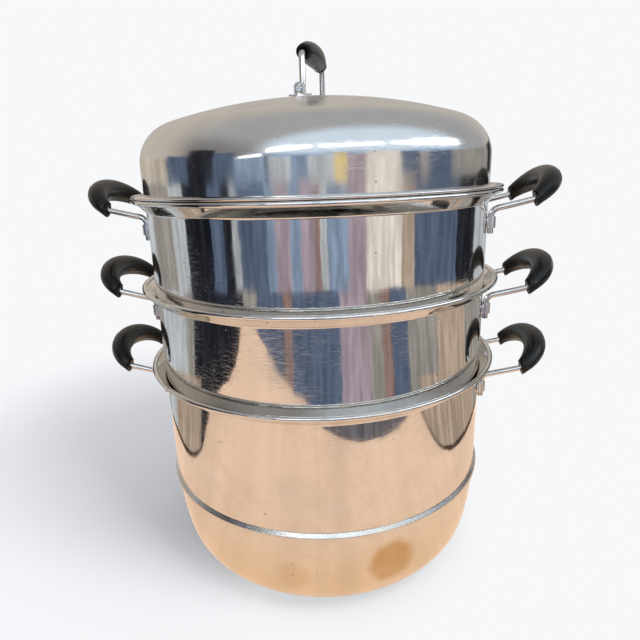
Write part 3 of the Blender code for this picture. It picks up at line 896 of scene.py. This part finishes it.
def grip_spokes(radius, seam, oval=1.0):
    """Angles and radii of one ring, with the mould seam on both sides and the arch's plane made flatter."""
    spokes = []
    for side in (0.0, 180.0):
        for step in range(SKIN_STEPS + 1):
            angle = side - 90.0 + SEAM_FOOT + (180.0 - 2.0 * SEAM_FOOT) * step / SKIN_STEPS
            spokes.append((math.radians(angle), radius))
        for angle in (side + 90.0 - SEAM_HALF_WIDTH, side + 90.0 + SEAM_HALF_WIDTH):
            spokes.append((math.radians(angle), radius + seam))
    return [(angle, reach / math.hypot(math.cos(angle), math.sin(angle) / oval)) for angle, reach in spokes]


def grip_shape(wire_path, first, centreline, middle_radius, side_on):
    """A moulded grip: outer skin, rounded and dished ends, and the bore that the wire fills."""
    last = len(wire_path) - 1 - first
    bore = wire_path[first:last + 1]
    bore_directions = tangents(wire_path)[first:last + 1]
    directions = tangents(centreline)
    directions[0] = bore_directions[0]
    directions[-1] = bore_directions[-1]
    count = len(centreline) - 1
    crest = middle_radius - SEAM_HEIGHT
    shape = bmesh.new()

    def end_rings(point, outwards, direction):
        lip = [(GRIP_LIP + LIP_ROUND, GRIP_NECK_RADIUS), (GRIP_LIP, GRIP_NECK_RADIUS + LIP_ROUND / 4.0)]
        for step in range(LIP_STEPS + 1):
            angle = math.radians(LIP_START + LIP_SWEEP * step / LIP_STEPS)
            back = LIP_ROUND * (1.0 - math.sin(angle))
            lip.append((back, GRIP_END_RADIUS - LIP_ROUND * (1.0 - math.cos(angle))))
        lip += [(0.0, WIRE_RADIUS + DISH_RIM), (DISH_DEPTH, WIRE_RADIUS + DISH_FLOOR)]
        return [add_ring(shape, point - outwards * back, direction, side_on,
                         grip_spokes(radius, 0.0, GRIP_OVAL)) for back, radius in lip]

    outer = []
    for step in range(1, count):
        near_end = (centreline[step] - centreline[0]).length < GRIP_LIP + 2.0 * LIP_ROUND
        far_end = (centreline[step] - centreline[-1]).length < GRIP_LIP + 2.0 * LIP_ROUND
        if near_end or far_end:
            continue
        swell = math.sin(math.pi * step / count) ** GRIP_FULLNESS
        radius = GRIP_NECK_RADIUS + (crest - GRIP_NECK_RADIUS) * swell
        spokes = grip_spokes(radius, SEAM_HEIGHT, GRIP_OVAL)
        outer.append(add_ring(shape, centreline[step], directions[step], side_on, spokes))
    near_end = end_rings(bore[0], -bore_directions[0], bore_directions[0])
    far_end = end_rings(bore[-1], bore_directions[-1], bore_directions[-1])
    hollow = []
    for point, direction in list(zip(bore, bore_directions))[1:-1]:
        hollow.append(add_ring(shape, point, direction, side_on, grip_spokes(WIRE_RADIUS + GAP, 0.0)))
    join_rings(shape, near_end[::-1] + outer + far_end + hollow[::-1], closed=True)
    return shape


print("grip ends", 2000.0 * GRIP_END_RADIUS, "mm across")

# %% [markdown]
# ## Straps
# Each wire foot lies under a small strap, pressed from strip into a saddle and spot-welded through its two
# flanges. Its section is two flat flanges, two tight bends and a half circle over the wire. The strip is laid
# along that line with rounded corners at its ends, and a Bevel breaks its edges.

# %% Strap shape
STRAP_SHEET = 0.0012
STRAP_FLANGE = 0.0050
STRAP_BEND = 0.0011
STRAP_CORNER = 0.0020
STRAP_EDGE = 0.00022
STRAP_EDGE_ANGLE = 50.0


def strap_line(slack):
    """Middle line of the strap's section, as (across, above the wall), from end to end."""
    saddle = WIRE_RADIUS + GAP + STRAP_SHEET / 2.0
    low = GAP + STRAP_SHEET / 2.0
    crest = GAP + WIRE_RADIUS + slack
    tip = saddle + STRAP_SHEET / 2.0 + STRAP_FLANGE
    flange = [Vector((-tip + (tip - saddle - STRAP_BEND) * step / 8.0, low)) for step in range(8)]
    bend = arc(Vector((-saddle - STRAP_BEND, low + STRAP_BEND)), STRAP_BEND, -90.0, 0.0, 5)
    half_circle = arc(Vector((0.0, crest)), saddle, 180.0, 90.0, 8)
    half = flange + bend + half_circle
    return half + [Vector((-p.x, p.y)) for p in reversed(half[:-1])]


def strap_shape(width, slack, to_place):
    """A strap; to_place maps (across, above the wall, along the wire) to a point."""
    line = strap_line(slack)
    shape = bmesh.new()
    rings = []
    for point, direction in zip(line, tangents(line)):
        from_end = abs(line[0].x) - abs(point.x)
        inset = max(0.0, STRAP_CORNER - from_end)
        half = width / 2.0 - STRAP_CORNER + math.sqrt(max(STRAP_CORNER ** 2 - inset ** 2, 0.0))
        normal = Vector((-direction.y, direction.x)) * (STRAP_SHEET / 2.0)
        ring = []
        for side, end in ((1, 1), (1, -1), (-1, -1), (-1, 1)):
            spot = point + normal * side
            ring.append(shape.verts.new(to_place(spot.x, spot.y, half * end)))
        rings.append(ring)
    join_rings(shape, rings, closed=False)
    shape.faces.new(rings[0][::-1])
    shape.faces.new(rings[-1])
    return shape


def add_strap(name, shape, body, stands_for):
    """Add a strap with broken edges."""
    strap = add_piece(name, shape, strap_steel, body, stands_for)
    edge = strap.modifiers.new("broken_edge", "BEVEL")
    edge.width = STRAP_EDGE
    edge.segments = 2
    edge.limit_method = "ANGLE"
    edge.angle_limit = math.radians(STRAP_EDGE_ANGLE)
    return applied(strap)


print("strap line has", len(strap_line(0.0)), "points")

# %% [markdown]
# ## The six side handles
# All six are the same, so one function makes the right-hand one at a given rim height, and the left-hand one is
# the same turned half way round the axis. The arch leans outwards and up at forty degrees, clear of the hot wall.

# %% Side handles
FOOT_ANGLE = 15.0
FOOT_TOP_DROP = 0.0176
FOOT_LENGTH = 0.0195
BEND_RADIUS = 0.0070
LEG_RISE = 12.5
GRIP_START = 0.1820
GRIP_TILT = 40.0
GRIP_DEPTH = 0.0255
GRIP_MID_RADIUS = 0.0105
STRAP_WIDTH = 0.0090
STRAP_DROP = 0.0278


def side_handle_paths(rim_height):
    """Wire path, its first point inside the grip, the grip's centreline and the side-on direction."""
    foot_radius = BODY_RADIUS + GAP + WIRE_RADIUS
    foot_x = foot_radius * math.cos(math.radians(FOOT_ANGLE))
    foot_y = foot_radius * math.sin(math.radians(FOOT_ANGLE))
    corner = Vector((foot_x, foot_y, rim_height - FOOT_TOP_DROP))
    foot_end = corner - Vector((0.0, 0.0, FOOT_LENGTH))
    leg_rise = (GRIP_START - foot_x) * math.tan(math.radians(LEG_RISE))
    grip_start = Vector((GRIP_START, foot_y, corner.z + leg_rise))
    tilt = math.radians(GRIP_TILT)
    rise = Vector((math.cos(tilt), 0.0, math.sin(tilt))) * GRIP_DEPTH
    side_on = Vector((-math.sin(tilt), 0.0, math.cos(tilt)))
    middle = Vector((grip_start.x, 0.0, grip_start.z))
    foot = [foot_end, *rounded_corner(foot_end, corner, grip_start, BEND_RADIUS)]
    arch = arch_points(middle, foot_y, rise, 0.0, ARCH_STEPS)
    return mirrored(foot + arch), len(foot), mirrored(arch), side_on


def on_wall(bearing, height):
    """Map a strap's own coordinates to the round wall at a bearing and height."""
    def to_place(across, above, along):
        angle = bearing + across / BODY_RADIUS
        radius = BODY_RADIUS + above
        return Vector((radius * math.cos(angle), radius * math.sin(angle), height + along))
    return to_place


for vessel in VESSELS:
    path, first, centreline, side_on = side_handle_paths(RIM_HEIGHT[vessel])
    for side, turn in (("right", 0.0), ("left", math.pi)):
        stem = f"{vessel}_{side}"
        about = Matrix.Rotation(turn, 3, "Z")
        path_here = [about @ p for p in path]
        line_here = [about @ p for p in centreline]
        wire = wire_shape(path_here, about @ side_on)
        add_piece(stem + "_handle_wire", wire, wire_steel, vessel, stem + "_wire")
        grip = grip_shape(path_here, first, line_here, GRIP_MID_RADIUS, about @ side_on)
        add_piece(stem + "_handle_grip", grip, bakelite, vessel, stem + "_grip")
        for end, sign in (("front", -1.0), ("back", 1.0)):
            offset = sign * math.radians(FOOT_ANGLE)
            bearing = turn + offset if side == "right" else turn - offset
            shape = strap_shape(STRAP_WIDTH, 0.0, on_wall(bearing, RIM_HEIGHT[vessel] - STRAP_DROP))
            add_strap(f"{stem}_{end}_saddle", shape, vessel, f"{stem}_{end}_strap")
print("side handles:", 2 * len(VESSELS))

# %% [markdown]
# ## The lid handle
# The lid handle is a bail: its two feet point away from each other along one line and turn in two tall loops on
# the crown, so the handle can lie down to either side. The hinge's place is read from the imported record.

# %% Lid handle
LID_HANDLE_TURN = -6.5
LID_LEG_OFFSET = 0.0385
LID_LEG_HEIGHT = 0.0252
LID_ARCH_RISE = 0.0085
LID_GRIP_START_ANGLE = 34.0
LID_FOOT_REACH = 0.0150
LID_BEND_RADIUS = 0.0060
LID_GRIP_MID_RADIUS = 0.0092
LID_STRAP_WIDTH = 0.0070
LID_STRAP_TAIL = 0.0018
LID_LOOP_SLACK = 0.0035

fold = next(joint for joint in frame["joints"] if joint["name"] == "lid_handle_fold")
hinge = Vector(fold["pos_m"])
bail_turn = Matrix.Rotation(math.radians(LID_HANDLE_TURN), 3, "Z")


def bail(point):
    """Move a point from the handle's own frame, with the hinge along Y, to its place on the lid."""
    return hinge + bail_turn @ point


corner = Vector((0.0, LID_LEG_OFFSET, 0.0))
foot_end = Vector((0.0, LID_LEG_OFFSET + LID_FOOT_REACH, 0.0))
leg_top = Vector((0.0, LID_LEG_OFFSET, LID_LEG_HEIGHT))
foot = [foot_end, *rounded_corner(foot_end, corner, leg_top, LID_BEND_RADIUS)]
middle = Vector((0.0, 0.0, LID_LEG_HEIGHT))
rise = Vector((0.0, 0.0, LID_ARCH_RISE))
shoulder = arch_points(middle, LID_LEG_OFFSET, rise, 0.0, 12)
shoulder = [p for p in shoulder if p.y > LID_LEG_OFFSET * math.cos(math.radians(LID_GRIP_START_ANGLE - 1.0))]
arch = arch_points(middle, LID_LEG_OFFSET, rise, LID_GRIP_START_ANGLE, ARCH_STEPS)
first = len(foot) + len(shoulder)
path = [bail(p) for p in mirrored(foot + shoulder + arch)]
centreline = [bail(p) for p in mirrored(arch)]
side_on = bail_turn @ Vector((1.0, 0.0, 0.0))
add_piece("lid_handle_wire", wire_shape(path, side_on), wire_steel, "lid_handle", "lid_wire")
grip = grip_shape(path, first, centreline, LID_GRIP_MID_RADIUS, side_on)
add_piece("lid_handle_grip", grip, bakelite, "lid_handle", "lid_grip")
print("bail is", round(1000.0 * 2.0 * LID_LEG_OFFSET), "mm wide")

# %% Loops on the crown
loop_reach = LID_LEG_OFFSET + LID_FOOT_REACH - LID_STRAP_TAIL - LID_STRAP_WIDTH / 2.0
loop_slope = math.asin(loop_reach / CROWN_RADIUS)
loop_height = LID_APEX - CROWN_RADIUS + math.sqrt(CROWN_RADIUS ** 2 - loop_reach ** 2)
for end, side in (("front", -1.0), ("back", 1.0)):
    bearing = math.radians(LID_HANDLE_TURN) + side * math.pi / 2.0
    seat = Matrix.Translation((loop_reach * math.cos(bearing), loop_reach * math.sin(bearing), loop_height))
    seat = seat @ Matrix.Rotation(bearing, 4, "Z") @ Matrix.Rotation(loop_slope, 4, "Y")
    shape = strap_shape(LID_STRAP_WIDTH, LID_LOOP_SLACK,
                        lambda across, above, along, seat=seat: seat @ Vector((along, across, above)))
    add_strap(f"lid_{end}_loop", shape, "lid", f"lid_{end}_strap")
print("loops stand", round(1000.0 * loop_reach, 1), "mm from the axis")

# %% [markdown]
# ## Floor and light
# The floor is plain and pale. Round the spot where the shadow falls it is a matt surface, and partly so close to
# the pot; further out it passes into the flat tone of the background, so no horizon shows. One large lamp from
# the front and right throws the soft shadow to the left and back, and the world fills in. Only camera, glossy and
# transmission rays see the world at full strength, so that the metal shows the pale background too.

# %% Floor
BACKGROUND = (0.930, 0.939, 0.956, 1.0)
FLOOR_COLOUR = (0.960, 0.968, 0.980, 1.0)
FLOOR_RADIUS = 60.0
SHADOW_SPOT = (-0.22, 0.20, 0.0)
SHADOW_FADE = (0.22, 0.46)
CONTACT_FADE = (0.125, 0.175)
CONTACT_SHARE = 0.40
DISC_SEGMENTS = 96


def staged(name, shape, material):
    """Turn a bmesh into an object of the scene, for the set round the model."""
    item = object_from(name, shape, material)
    return item


def disc(name, rings, material):
    """A round sheet from rings of (radius, height), from the middle outwards."""
    outline = [Vector((0.0, rings[0][1])), *(Vector(ring) for ring in rings)]
    return staged(name, lathed(outline, DISC_SEGMENTS), material)


def empty_tree(owner):
    """Turn on the nodes of a material or the world, and clear them."""
    owner.use_nodes = True
    owner.node_tree.nodes.clear()
    return owner.node_tree


floor_material = bpy.data.materials.new("floor")
tree = empty_tree(floor_material)
place = own_place(tree)
distance = vector_math(tree, "DISTANCE", place, SHADOW_SPOT, output="Value")
radius = vector_math(tree, "LENGTH", place, output="Value")
contact = ramp_between(tree, radius, *CONTACT_FADE)
contact = math_node(tree, "MULTIPLY_ADD", contact, CONTACT_SHARE, 1.0 - CONTACT_SHARE)
fade = math_node(tree, "MINIMUM", ramp_between(tree, distance, *SHADOW_FADE), contact)
matt = add_node(tree, "ShaderNodeBsdfDiffuse", {"Color": FLOOR_COLOUR})
flat = add_node(tree, "ShaderNodeEmission", {"Color": BACKGROUND, "Strength": 1.0})
mixed = add_node(tree, "ShaderNodeMixShader", {0: fade, 1: matt.outputs[0], 2: flat.outputs[0]})
add_node(tree, "ShaderNodeOutputMaterial", {"Surface": mixed.outputs[0]})
disc("floor", [(0.5, 0.0), (2.0, 0.0), (FLOOR_RADIUS, 0.0)], floor_material)
print("floor radius", FLOOR_RADIUS)

# %% World and lamps
SOFT_COLOUR = (0.95, 0.96, 1.0, 1.0)
SOFT_LEVEL = 0.66

world = bpy.data.worlds.new("world")
bpy.context.scene.world = world
tree = empty_tree(world)
rays = add_node(tree, "ShaderNodeLightPath")
seen = math_node(tree, "MAXIMUM", rays.outputs["Is Camera Ray"], rays.outputs["Is Glossy Ray"])
seen = math_node(tree, "MAXIMUM", seen, rays.outputs["Is Transmission Ray"])
soft = add_node(tree, "ShaderNodeBackground", {"Color": SOFT_COLOUR, "Strength": SOFT_LEVEL})
pale = add_node(tree, "ShaderNodeBackground", {"Color": BACKGROUND, "Strength": 1.0})
mixed = add_node(tree, "ShaderNodeMixShader", {0: seen, 1: soft.outputs[0], 2: pale.outputs[0]})
add_node(tree, "ShaderNodeOutputWorld", {"Surface": mixed.outputs[0]})


def add_lamp(name, place, target, size, power):
    """A square area lamp that looks at a point; mirrors see cards instead of it."""
    data = bpy.data.lights.new(name, "AREA")
    data.shape = "SQUARE"
    data.size = size
    data.energy = power
    lamp = bpy.data.objects.new(name, data)
    lamp.location = place
    lamp.rotation_euler = (Vector(target) - Vector(place)).to_track_quat("-Z", "Y").to_euler()
    lamp.visible_glossy = False
    bpy.context.scene.collection.objects.link(lamp)
    return lamp


add_lamp("key", (1.15, -0.80, 1.85), (0.0, 0.0, 0.2), 0.9, 24.7)
add_lamp("front_fill", (-0.5, -1.8, 1.2), (0.0, 0.0, 0.25), 1.4, 7.0)

# %% [markdown]
# ## Cards for the mirror
# A mirror shows its surroundings, so polished metal is lit with cards rather than with lamps. Eleven quiet tones
# are enough. They stand round the set in upright cards, carry on across the floor in wedges, and a warm card lies
# in the middle, where the pot's belly mirrors it. A pale canopy closes the top, and bright strips under it give
# the white lines on beads, ring and wires. Only glossy rays see the cards: they throw no shadow and no light.
#
# Bearings are degrees to the right of the camera.

# %% Card tones
CARD_RADIUS = 1.60
CARD_FOOT = 1.37
CARD_SPLIT = 0.345
CARD_TOP = 0.48
HIGH_RADIUS = 1.42
FLOOR_CARD_START = 0.25
LENS_START = 0.30
WEDGE_HEIGHT = 0.0010
LENS_HEIGHT = 0.0015
BORDER_HEIGHT = 0.0020
WARM_HEIGHT = 0.0030
STREAK_DRIFT = (0.10, 0.10, 0.15)
STREAK_DETAIL = (3.0, 0.6)
STREAK_EDGE = (0.35, 0.68)
PALE_GAIN = 0.6
PALE_LIFT = 0.08
TONE_STREAKS = (21.0, 0.28)
COLUMN_WIDTH = 1.5
CAMERA_BEARING = math.atan2(CAMERA_PLACE[1], CAMERA_PLACE[0])

TONES = {
    "ink": (0.010, 0.012, 0.020), "slate": (0.100, 0.140, 0.225), "haze": (0.29, 0.39, 0.55),
    "mauve": (0.44, 0.355, 0.42), "umber": (0.31, 0.205, 0.18), "clay": (0.54, 0.42, 0.33),
    "stone": (0.36, 0.34, 0.315), "fawn": (0.60, 0.53, 0.45), "mist": (0.58, 0.62, 0.66),
    "cream": (0.90, 0.84, 0.76), "straw": (0.90, 0.70, 0.30),
}
FLOOR_WEDGES = (
    (-180, "stone"), (-128, "mist"), (-94, "stone"), (-86, "ink"), (-47, "stone"), (-38, "slate"), (-22, "umber"),
    (-17, "slate"), (11, "mauve"), (28, "stone"), (36, "umber"), (42, "slate"), (53, "stone"), (76, "clay"),
    (104, "stone"),
)
LOW_CARDS = (
    (-180, "mist"), (-128, "stone"), (-100, "mist"), (-87, "ink"), (-66, "slate"), (-57, "ink"), (-51, "mist"),
    (-47, "slate"), (-30, "haze"), (-25, "mauve"), (-16, "haze"), (-10, "mauve"), (-2, "umber"), (1, "mist"),
    (5, "haze"), (17, "mauve"), (28, "cream"), (50, "clay"), (59, "slate"), (94, "ink"), (116, "mist"),
)
HIGH_CARDS = (
    (-180, "fawn", 0.56), (-98, "slate", 0.64), (-79, "ink", 0.88), (-60, "slate", 0.76), (-46, "haze", 0.52),
    (-29, "slate", 0.60), (-27, "mist", 0.50), (-14, "haze", 0.54), (-4, "mist", 0.50), (10, "straw", 0.62),
    (17, "mauve", 0.54), (28, "cream", 0.64), (49, "slate", 0.58), (62, "fawn", 0.54), (67, "slate", 0.57),
    (86, "stone", 0.55), (132, "ink", 0.56), (142, "stone", 0.56),
)


def direction(bearing):
    """Level unit vector at a bearing."""
    angle = CAMERA_BEARING + math.radians(bearing)
    return Vector((math.cos(angle), math.sin(angle), 0.0))


def glow(name, colour_of, strength=1.0):
    """A card material that only shows its own tone, and only to rays that have met nothing matt."""
    material = bpy.data.materials.new(name)
    tree = empty_tree(material)
    depth = add_node(tree, "ShaderNodeLightPath").outputs["Diffuse Depth"]
    shown = math_node(tree, "MULTIPLY", math_node(tree, "LESS_THAN", depth, 0.5), strength)
    colour = colour_of(tree) if callable(colour_of) else (*colour_of, 1.0)
    shine = add_node(tree, "ShaderNodeEmission", {"Color": colour, "Strength": shown})
    add_node(tree, "ShaderNodeOutputMaterial", {"Surface": shine.outputs[0]})
    return material


def streaked(tone, scale, depth):
    """A tone that streaks make darker and paler; they follow the bearing, so mirrors show them upright."""
    def colour_of(tree):
        place = own_place(tree)
        way = vector_math(tree, "NORMALIZE", vector_math(tree, "MULTIPLY", place, (1.0, 1.0, 0.0)))
        near = vector_math(tree, "MULTIPLY_ADD", place, STREAK_DRIFT, way)
        cloud = noise(tree, near, scale, *STREAK_DETAIL)
        deep_tone = tuple((1.0 - depth) * value for value in tone)
        pale_tone = tuple((1.0 + PALE_GAIN * depth) * value + PALE_LIFT * depth for value in tone)
        return blend_colours(tree, ramp_between(tree, cloud, *STREAK_EDGE), deep_tone, pale_tone)
    return colour_of


def for_mirrors_only(card):
    """Hide a card from every ray but the glossy ones."""
    card.visible_camera = False
    card.visible_diffuse = False
    card.visible_shadow = False
    card.visible_transmission = False
    card.visible_volume_scatter = False
    return card


def band(name, bearings, low, high, material):
    """A card between two rows; each row gives (radius, height) for a part of the way, 0 to 1."""
    start, stop = bearings
    steps = max(2, int(abs(stop - start) / COLUMN_WIDTH))
    shape = bmesh.new()
    columns = []
    for step in range(steps + 1):
        part = step / steps
        way = direction(start + (stop - start) * part)
        columns.append([shape.verts.new(way * radius + Vector((0.0, 0.0, height)))
                        for radius, height in (low(part), high(part))])
    for near, far in zip(columns, columns[1:]):
        shape.faces.new((near[0], far[0], far[1], near[1]))
    return for_mirrors_only(staged(name, shape, material))


def level(radius, height):
    """A row at one radius and height."""
    return lambda part: (radius, height)


def rising(radius, first, last):
    """A row at one radius whose height runs from first to last."""
    return lambda part: (radius, first + (last - first) * part)


print(len(TONES), "tones:", ", ".join(TONES))

# %% Upright cards and floor wedges
tones = {key: glow("card_" + key, streaked(tone, *TONE_STREAKS)) for key, tone in TONES.items()}
rows = (
    ("wedge", FLOOR_WEDGES, (FLOOR_CARD_START, WEDGE_HEIGHT), (CARD_RADIUS, WEDGE_HEIGHT)),
    ("foot_card", LOW_CARDS, (CARD_FOOT, LENS_HEIGHT), (CARD_RADIUS, LENS_HEIGHT)),
    ("low_card", LOW_CARDS, (CARD_RADIUS, 0.0), (CARD_RADIUS, CARD_SPLIT)),
    ("high_card", HIGH_CARDS, (HIGH_RADIUS, CARD_SPLIT), (HIGH_RADIUS, CARD_TOP)),
)
for kind, cards, low, high in rows:
    stops = [card[0] for card in cards[1:]] + [180]
    for (start, tone, *top), stop in zip(cards, stops):
        upper = (HIGH_RADIUS, *top) if top else high
        band(f"{kind}_{start}", (start, stop), level(*low), level(*upper), tones[tone])
    print(kind, len(cards))

# %% [markdown]
# The warm card has a curved edge, set by a reach at each of a few bearings, because a mirror-bright cylinder
# bends a straight edge into a curve. Its dark border and the plain cards beyond it show as patches on the pot's
# wall. A lens is a darker or paler card that lies under the border and shows past the warm card's edge.

# %% Warm card on the floor
WARM_TONE = (0.96, 0.70, 0.525)
WARM_STREAKS = (3.0, 0.06)
# Painted shade: the warm card is painted darker close under the pot.
SHADED_TONE = (0.09, 0.055, 0.035)
SHADE_FADE = (0.104, 0.136)
BORDER_TONE = (0.035, 0.022, 0.015)
BORDER_WIDTH = 0.016
BORDER_BEARINGS = ((-126, -80), (55, 128))
LENS_TONE = (0.165, 0.155, 0.180)
LENS_STREAKS = (21.0, 0.30)
LENS_BEARINGS = (-10, 52)
LENS_REACH = 0.535
PALE_LENS_BEARINGS = ((-112, -80), (60, 116))
PALE_LENS_REACH = 0.62
WARM_EDGE = (
    (-180, 0.42), (-125, 0.36), (-108, 0.330), (-96, 0.315), (-88, 0.318), (-82, 0.335), (-78, 0.365),
    (-74, 0.45), (-69, 0.54), (-62, 0.60), (-56, 0.66), (-51, 0.80), (-48, 1.02), (-44, 1.08), (-38, 0.93),
    (-30, 0.75), (-19, 0.62), (-10, 0.57), (-4, 0.51), (1, 0.475), (8, 0.45), (17, 0.437), (28, 0.437),
    (38, 0.447), (47, 0.475), (53, 0.515), (58, 0.49), (64, 0.41), (71, 0.355), (80, 0.332), (95, 0.330),
    (110, 0.345), (130, 0.38), (180, 0.42),
)


def edge_at(bearing):
    """Reach of the warm card at a bearing, on a smooth curve through the table."""
    at = max(index for index, (start, _reach) in enumerate(WARM_EDGE[:-1]) if start <= bearing)
    (near, first), (far, last) = WARM_EDGE[at], WARM_EDGE[at + 1]
    before, after = WARM_EDGE[max(at - 1, 0)], WARM_EDGE[min(at + 2, len(WARM_EDGE) - 1)]
    lead = (last - before[1]) / (far - before[0]) * (far - near)
    tail = (after[1] - first) / (after[0] - near) * (far - near)
    part = (bearing - near) / (far - near)
    cube, square = part ** 3, part ** 2
    blend = 3.0 * square - 2.0 * cube
    straight = (1.0 - blend) * first + blend * last
    return straight + (cube - 2.0 * square + part) * lead + (cube - square) * tail


def warm_row(start, stop, extra, height):
    """The warm card's edge between two bearings, some way further out."""
    return lambda part: (edge_at(start + (stop - start) * part) + extra, height)


def warm_colour(tree):
    """The warm tone, painted darker close under the pot: a painted shade that the pot's belly mirrors."""
    lit = ramp_between(tree, vector_math(tree, "LENGTH", own_place(tree), output="Value"), *SHADE_FADE)
    return blend_colours(tree, lit, SHADED_TONE, streaked(WARM_TONE, *WARM_STREAKS)(tree))


warm = glow("warm_tone", warm_colour)
border = glow("border_tone", BORDER_TONE)
lens = glow("lens_tone", streaked(LENS_TONE, *LENS_STREAKS))
band("warm_card", (-180, 180), level(0.0, WARM_HEIGHT), warm_row(-180, 180, 0.0, WARM_HEIGHT), warm)
for start, stop in BORDER_BEARINGS:
    edge = warm_row(start, stop, BORDER_WIDTH, BORDER_HEIGHT)
    band(f"dark_border_{start}", (start, stop), level(FLOOR_CARD_START, BORDER_HEIGHT), edge, border)
band("dark_lens", LENS_BEARINGS, level(LENS_START, LENS_HEIGHT), level(LENS_REACH, LENS_HEIGHT), lens)
for start, stop in PALE_LENS_BEARINGS:
    far_edge = level(PALE_LENS_REACH, LENS_HEIGHT)
    band(f"pale_lens_{start}", (start, stop), level(FLOOR_CARD_START, LENS_HEIGHT), far_edge, tones["clay"])
print("warm card reaches", max(reach for _bearing, reach in WARM_EDGE), "m")

# %% Canopy
CANOPY_RISE = 1.05
CANOPY_ELEVATIONS = range(82, -1, -6)
CANOPY_SCALE = 2.2
CANOPY_WANDER = 0.30
OVERHEAD_FADE = (0.95, 1.60)
GLARE_FADE = (0.70, 0.98)
FRONT_SIDE = (tuple(direction(29.0)), 0.45, 0.88)
LEFT_SIDE = (tuple(direction(-75.0)), 0.80, 1.45)
BACK_SIDE = ((-0.55, 1.0, 0.0), 0.10, 1.10)
SIDE_TONE = (0.40, 0.41, 0.43)
OVERHEAD_TONE = (0.43, 0.44, 0.455)
HAZE_TONE = (0.38, 0.52, 0.72)
GLARE_TONE = (0.74, 0.87, 1.02)
LEFT_TONE = (0.24, 0.235, 0.235)
BACK_TONE = (0.58, 0.53, 0.475)


def canopy_colour(tree):
    """Grey at the sides and overhead, blue haze with a glare above it in front, and a warm wall behind."""
    place = own_place(tree)

    def towards(way, low, high):
        return ramp_between(tree, vector_math(tree, "DOT_PRODUCT", place, way, output="Value"), low, high)

    cloud = noise(tree, place, CANOPY_SCALE)
    upwards = math_node(tree, "MULTIPLY_ADD", cloud, CANOPY_WANDER, height_of(tree, place))
    colour = blend_colours(tree, ramp_between(tree, upwards, *OVERHEAD_FADE), SIDE_TONE, OVERHEAD_TONE)
    glare = blend_colours(tree, ramp_between(tree, upwards, *GLARE_FADE), HAZE_TONE, GLARE_TONE)
    colour = blend_colours(tree, towards(*FRONT_SIDE), colour, glare)
    colour = blend_colours(tree, towards(*LEFT_SIDE), colour, LEFT_TONE)
    return blend_colours(tree, towards(*BACK_SIDE), colour, BACK_TONE)


arch_rings = [(CARD_RADIUS * math.cos(math.radians(e)), CARD_TOP + CANOPY_RISE * math.sin(math.radians(e)))
              for e in CANOPY_ELEVATIONS]
for_mirrors_only(disc("canopy", arch_rings + [(CARD_RADIUS, CARD_TOP)], glow("canopy_tone", canopy_colour)))
print("canopy closes", CARD_TOP + CANOPY_RISE, "m up")

# %% Bright strips
STRIP_RADIUS = 1.36
STRIP_TONE = (0.90, 0.95, 1.0)
STRIP_STRENGTH = 4.0

strip = glow("strip_tone", STRIP_TONE, STRIP_STRENGTH)
for name, bearings, low, high in (
        ("strip_far_left", (-43, -31), (0.50, 0.56), (0.56, 0.66)),
        ("strip_left", (-28, -3), (0.72, 0.88), (0.90, 1.22)),
        ("strip_middle", (2, 41), (0.89, 0.91), (1.30, 1.32)),
        ("strip_right", (46, 94), (0.92, 0.70), (1.27, 0.90))):
    band(name, bearings, rising(STRIP_RADIUS, *low), rising(STRIP_RADIUS, *high), strip)

# %% [markdown]
# ## Finish
# The picture uses the plain Standard view.

# %% Finish
bpy.context.scene.view_settings.view_transform = "Standard"
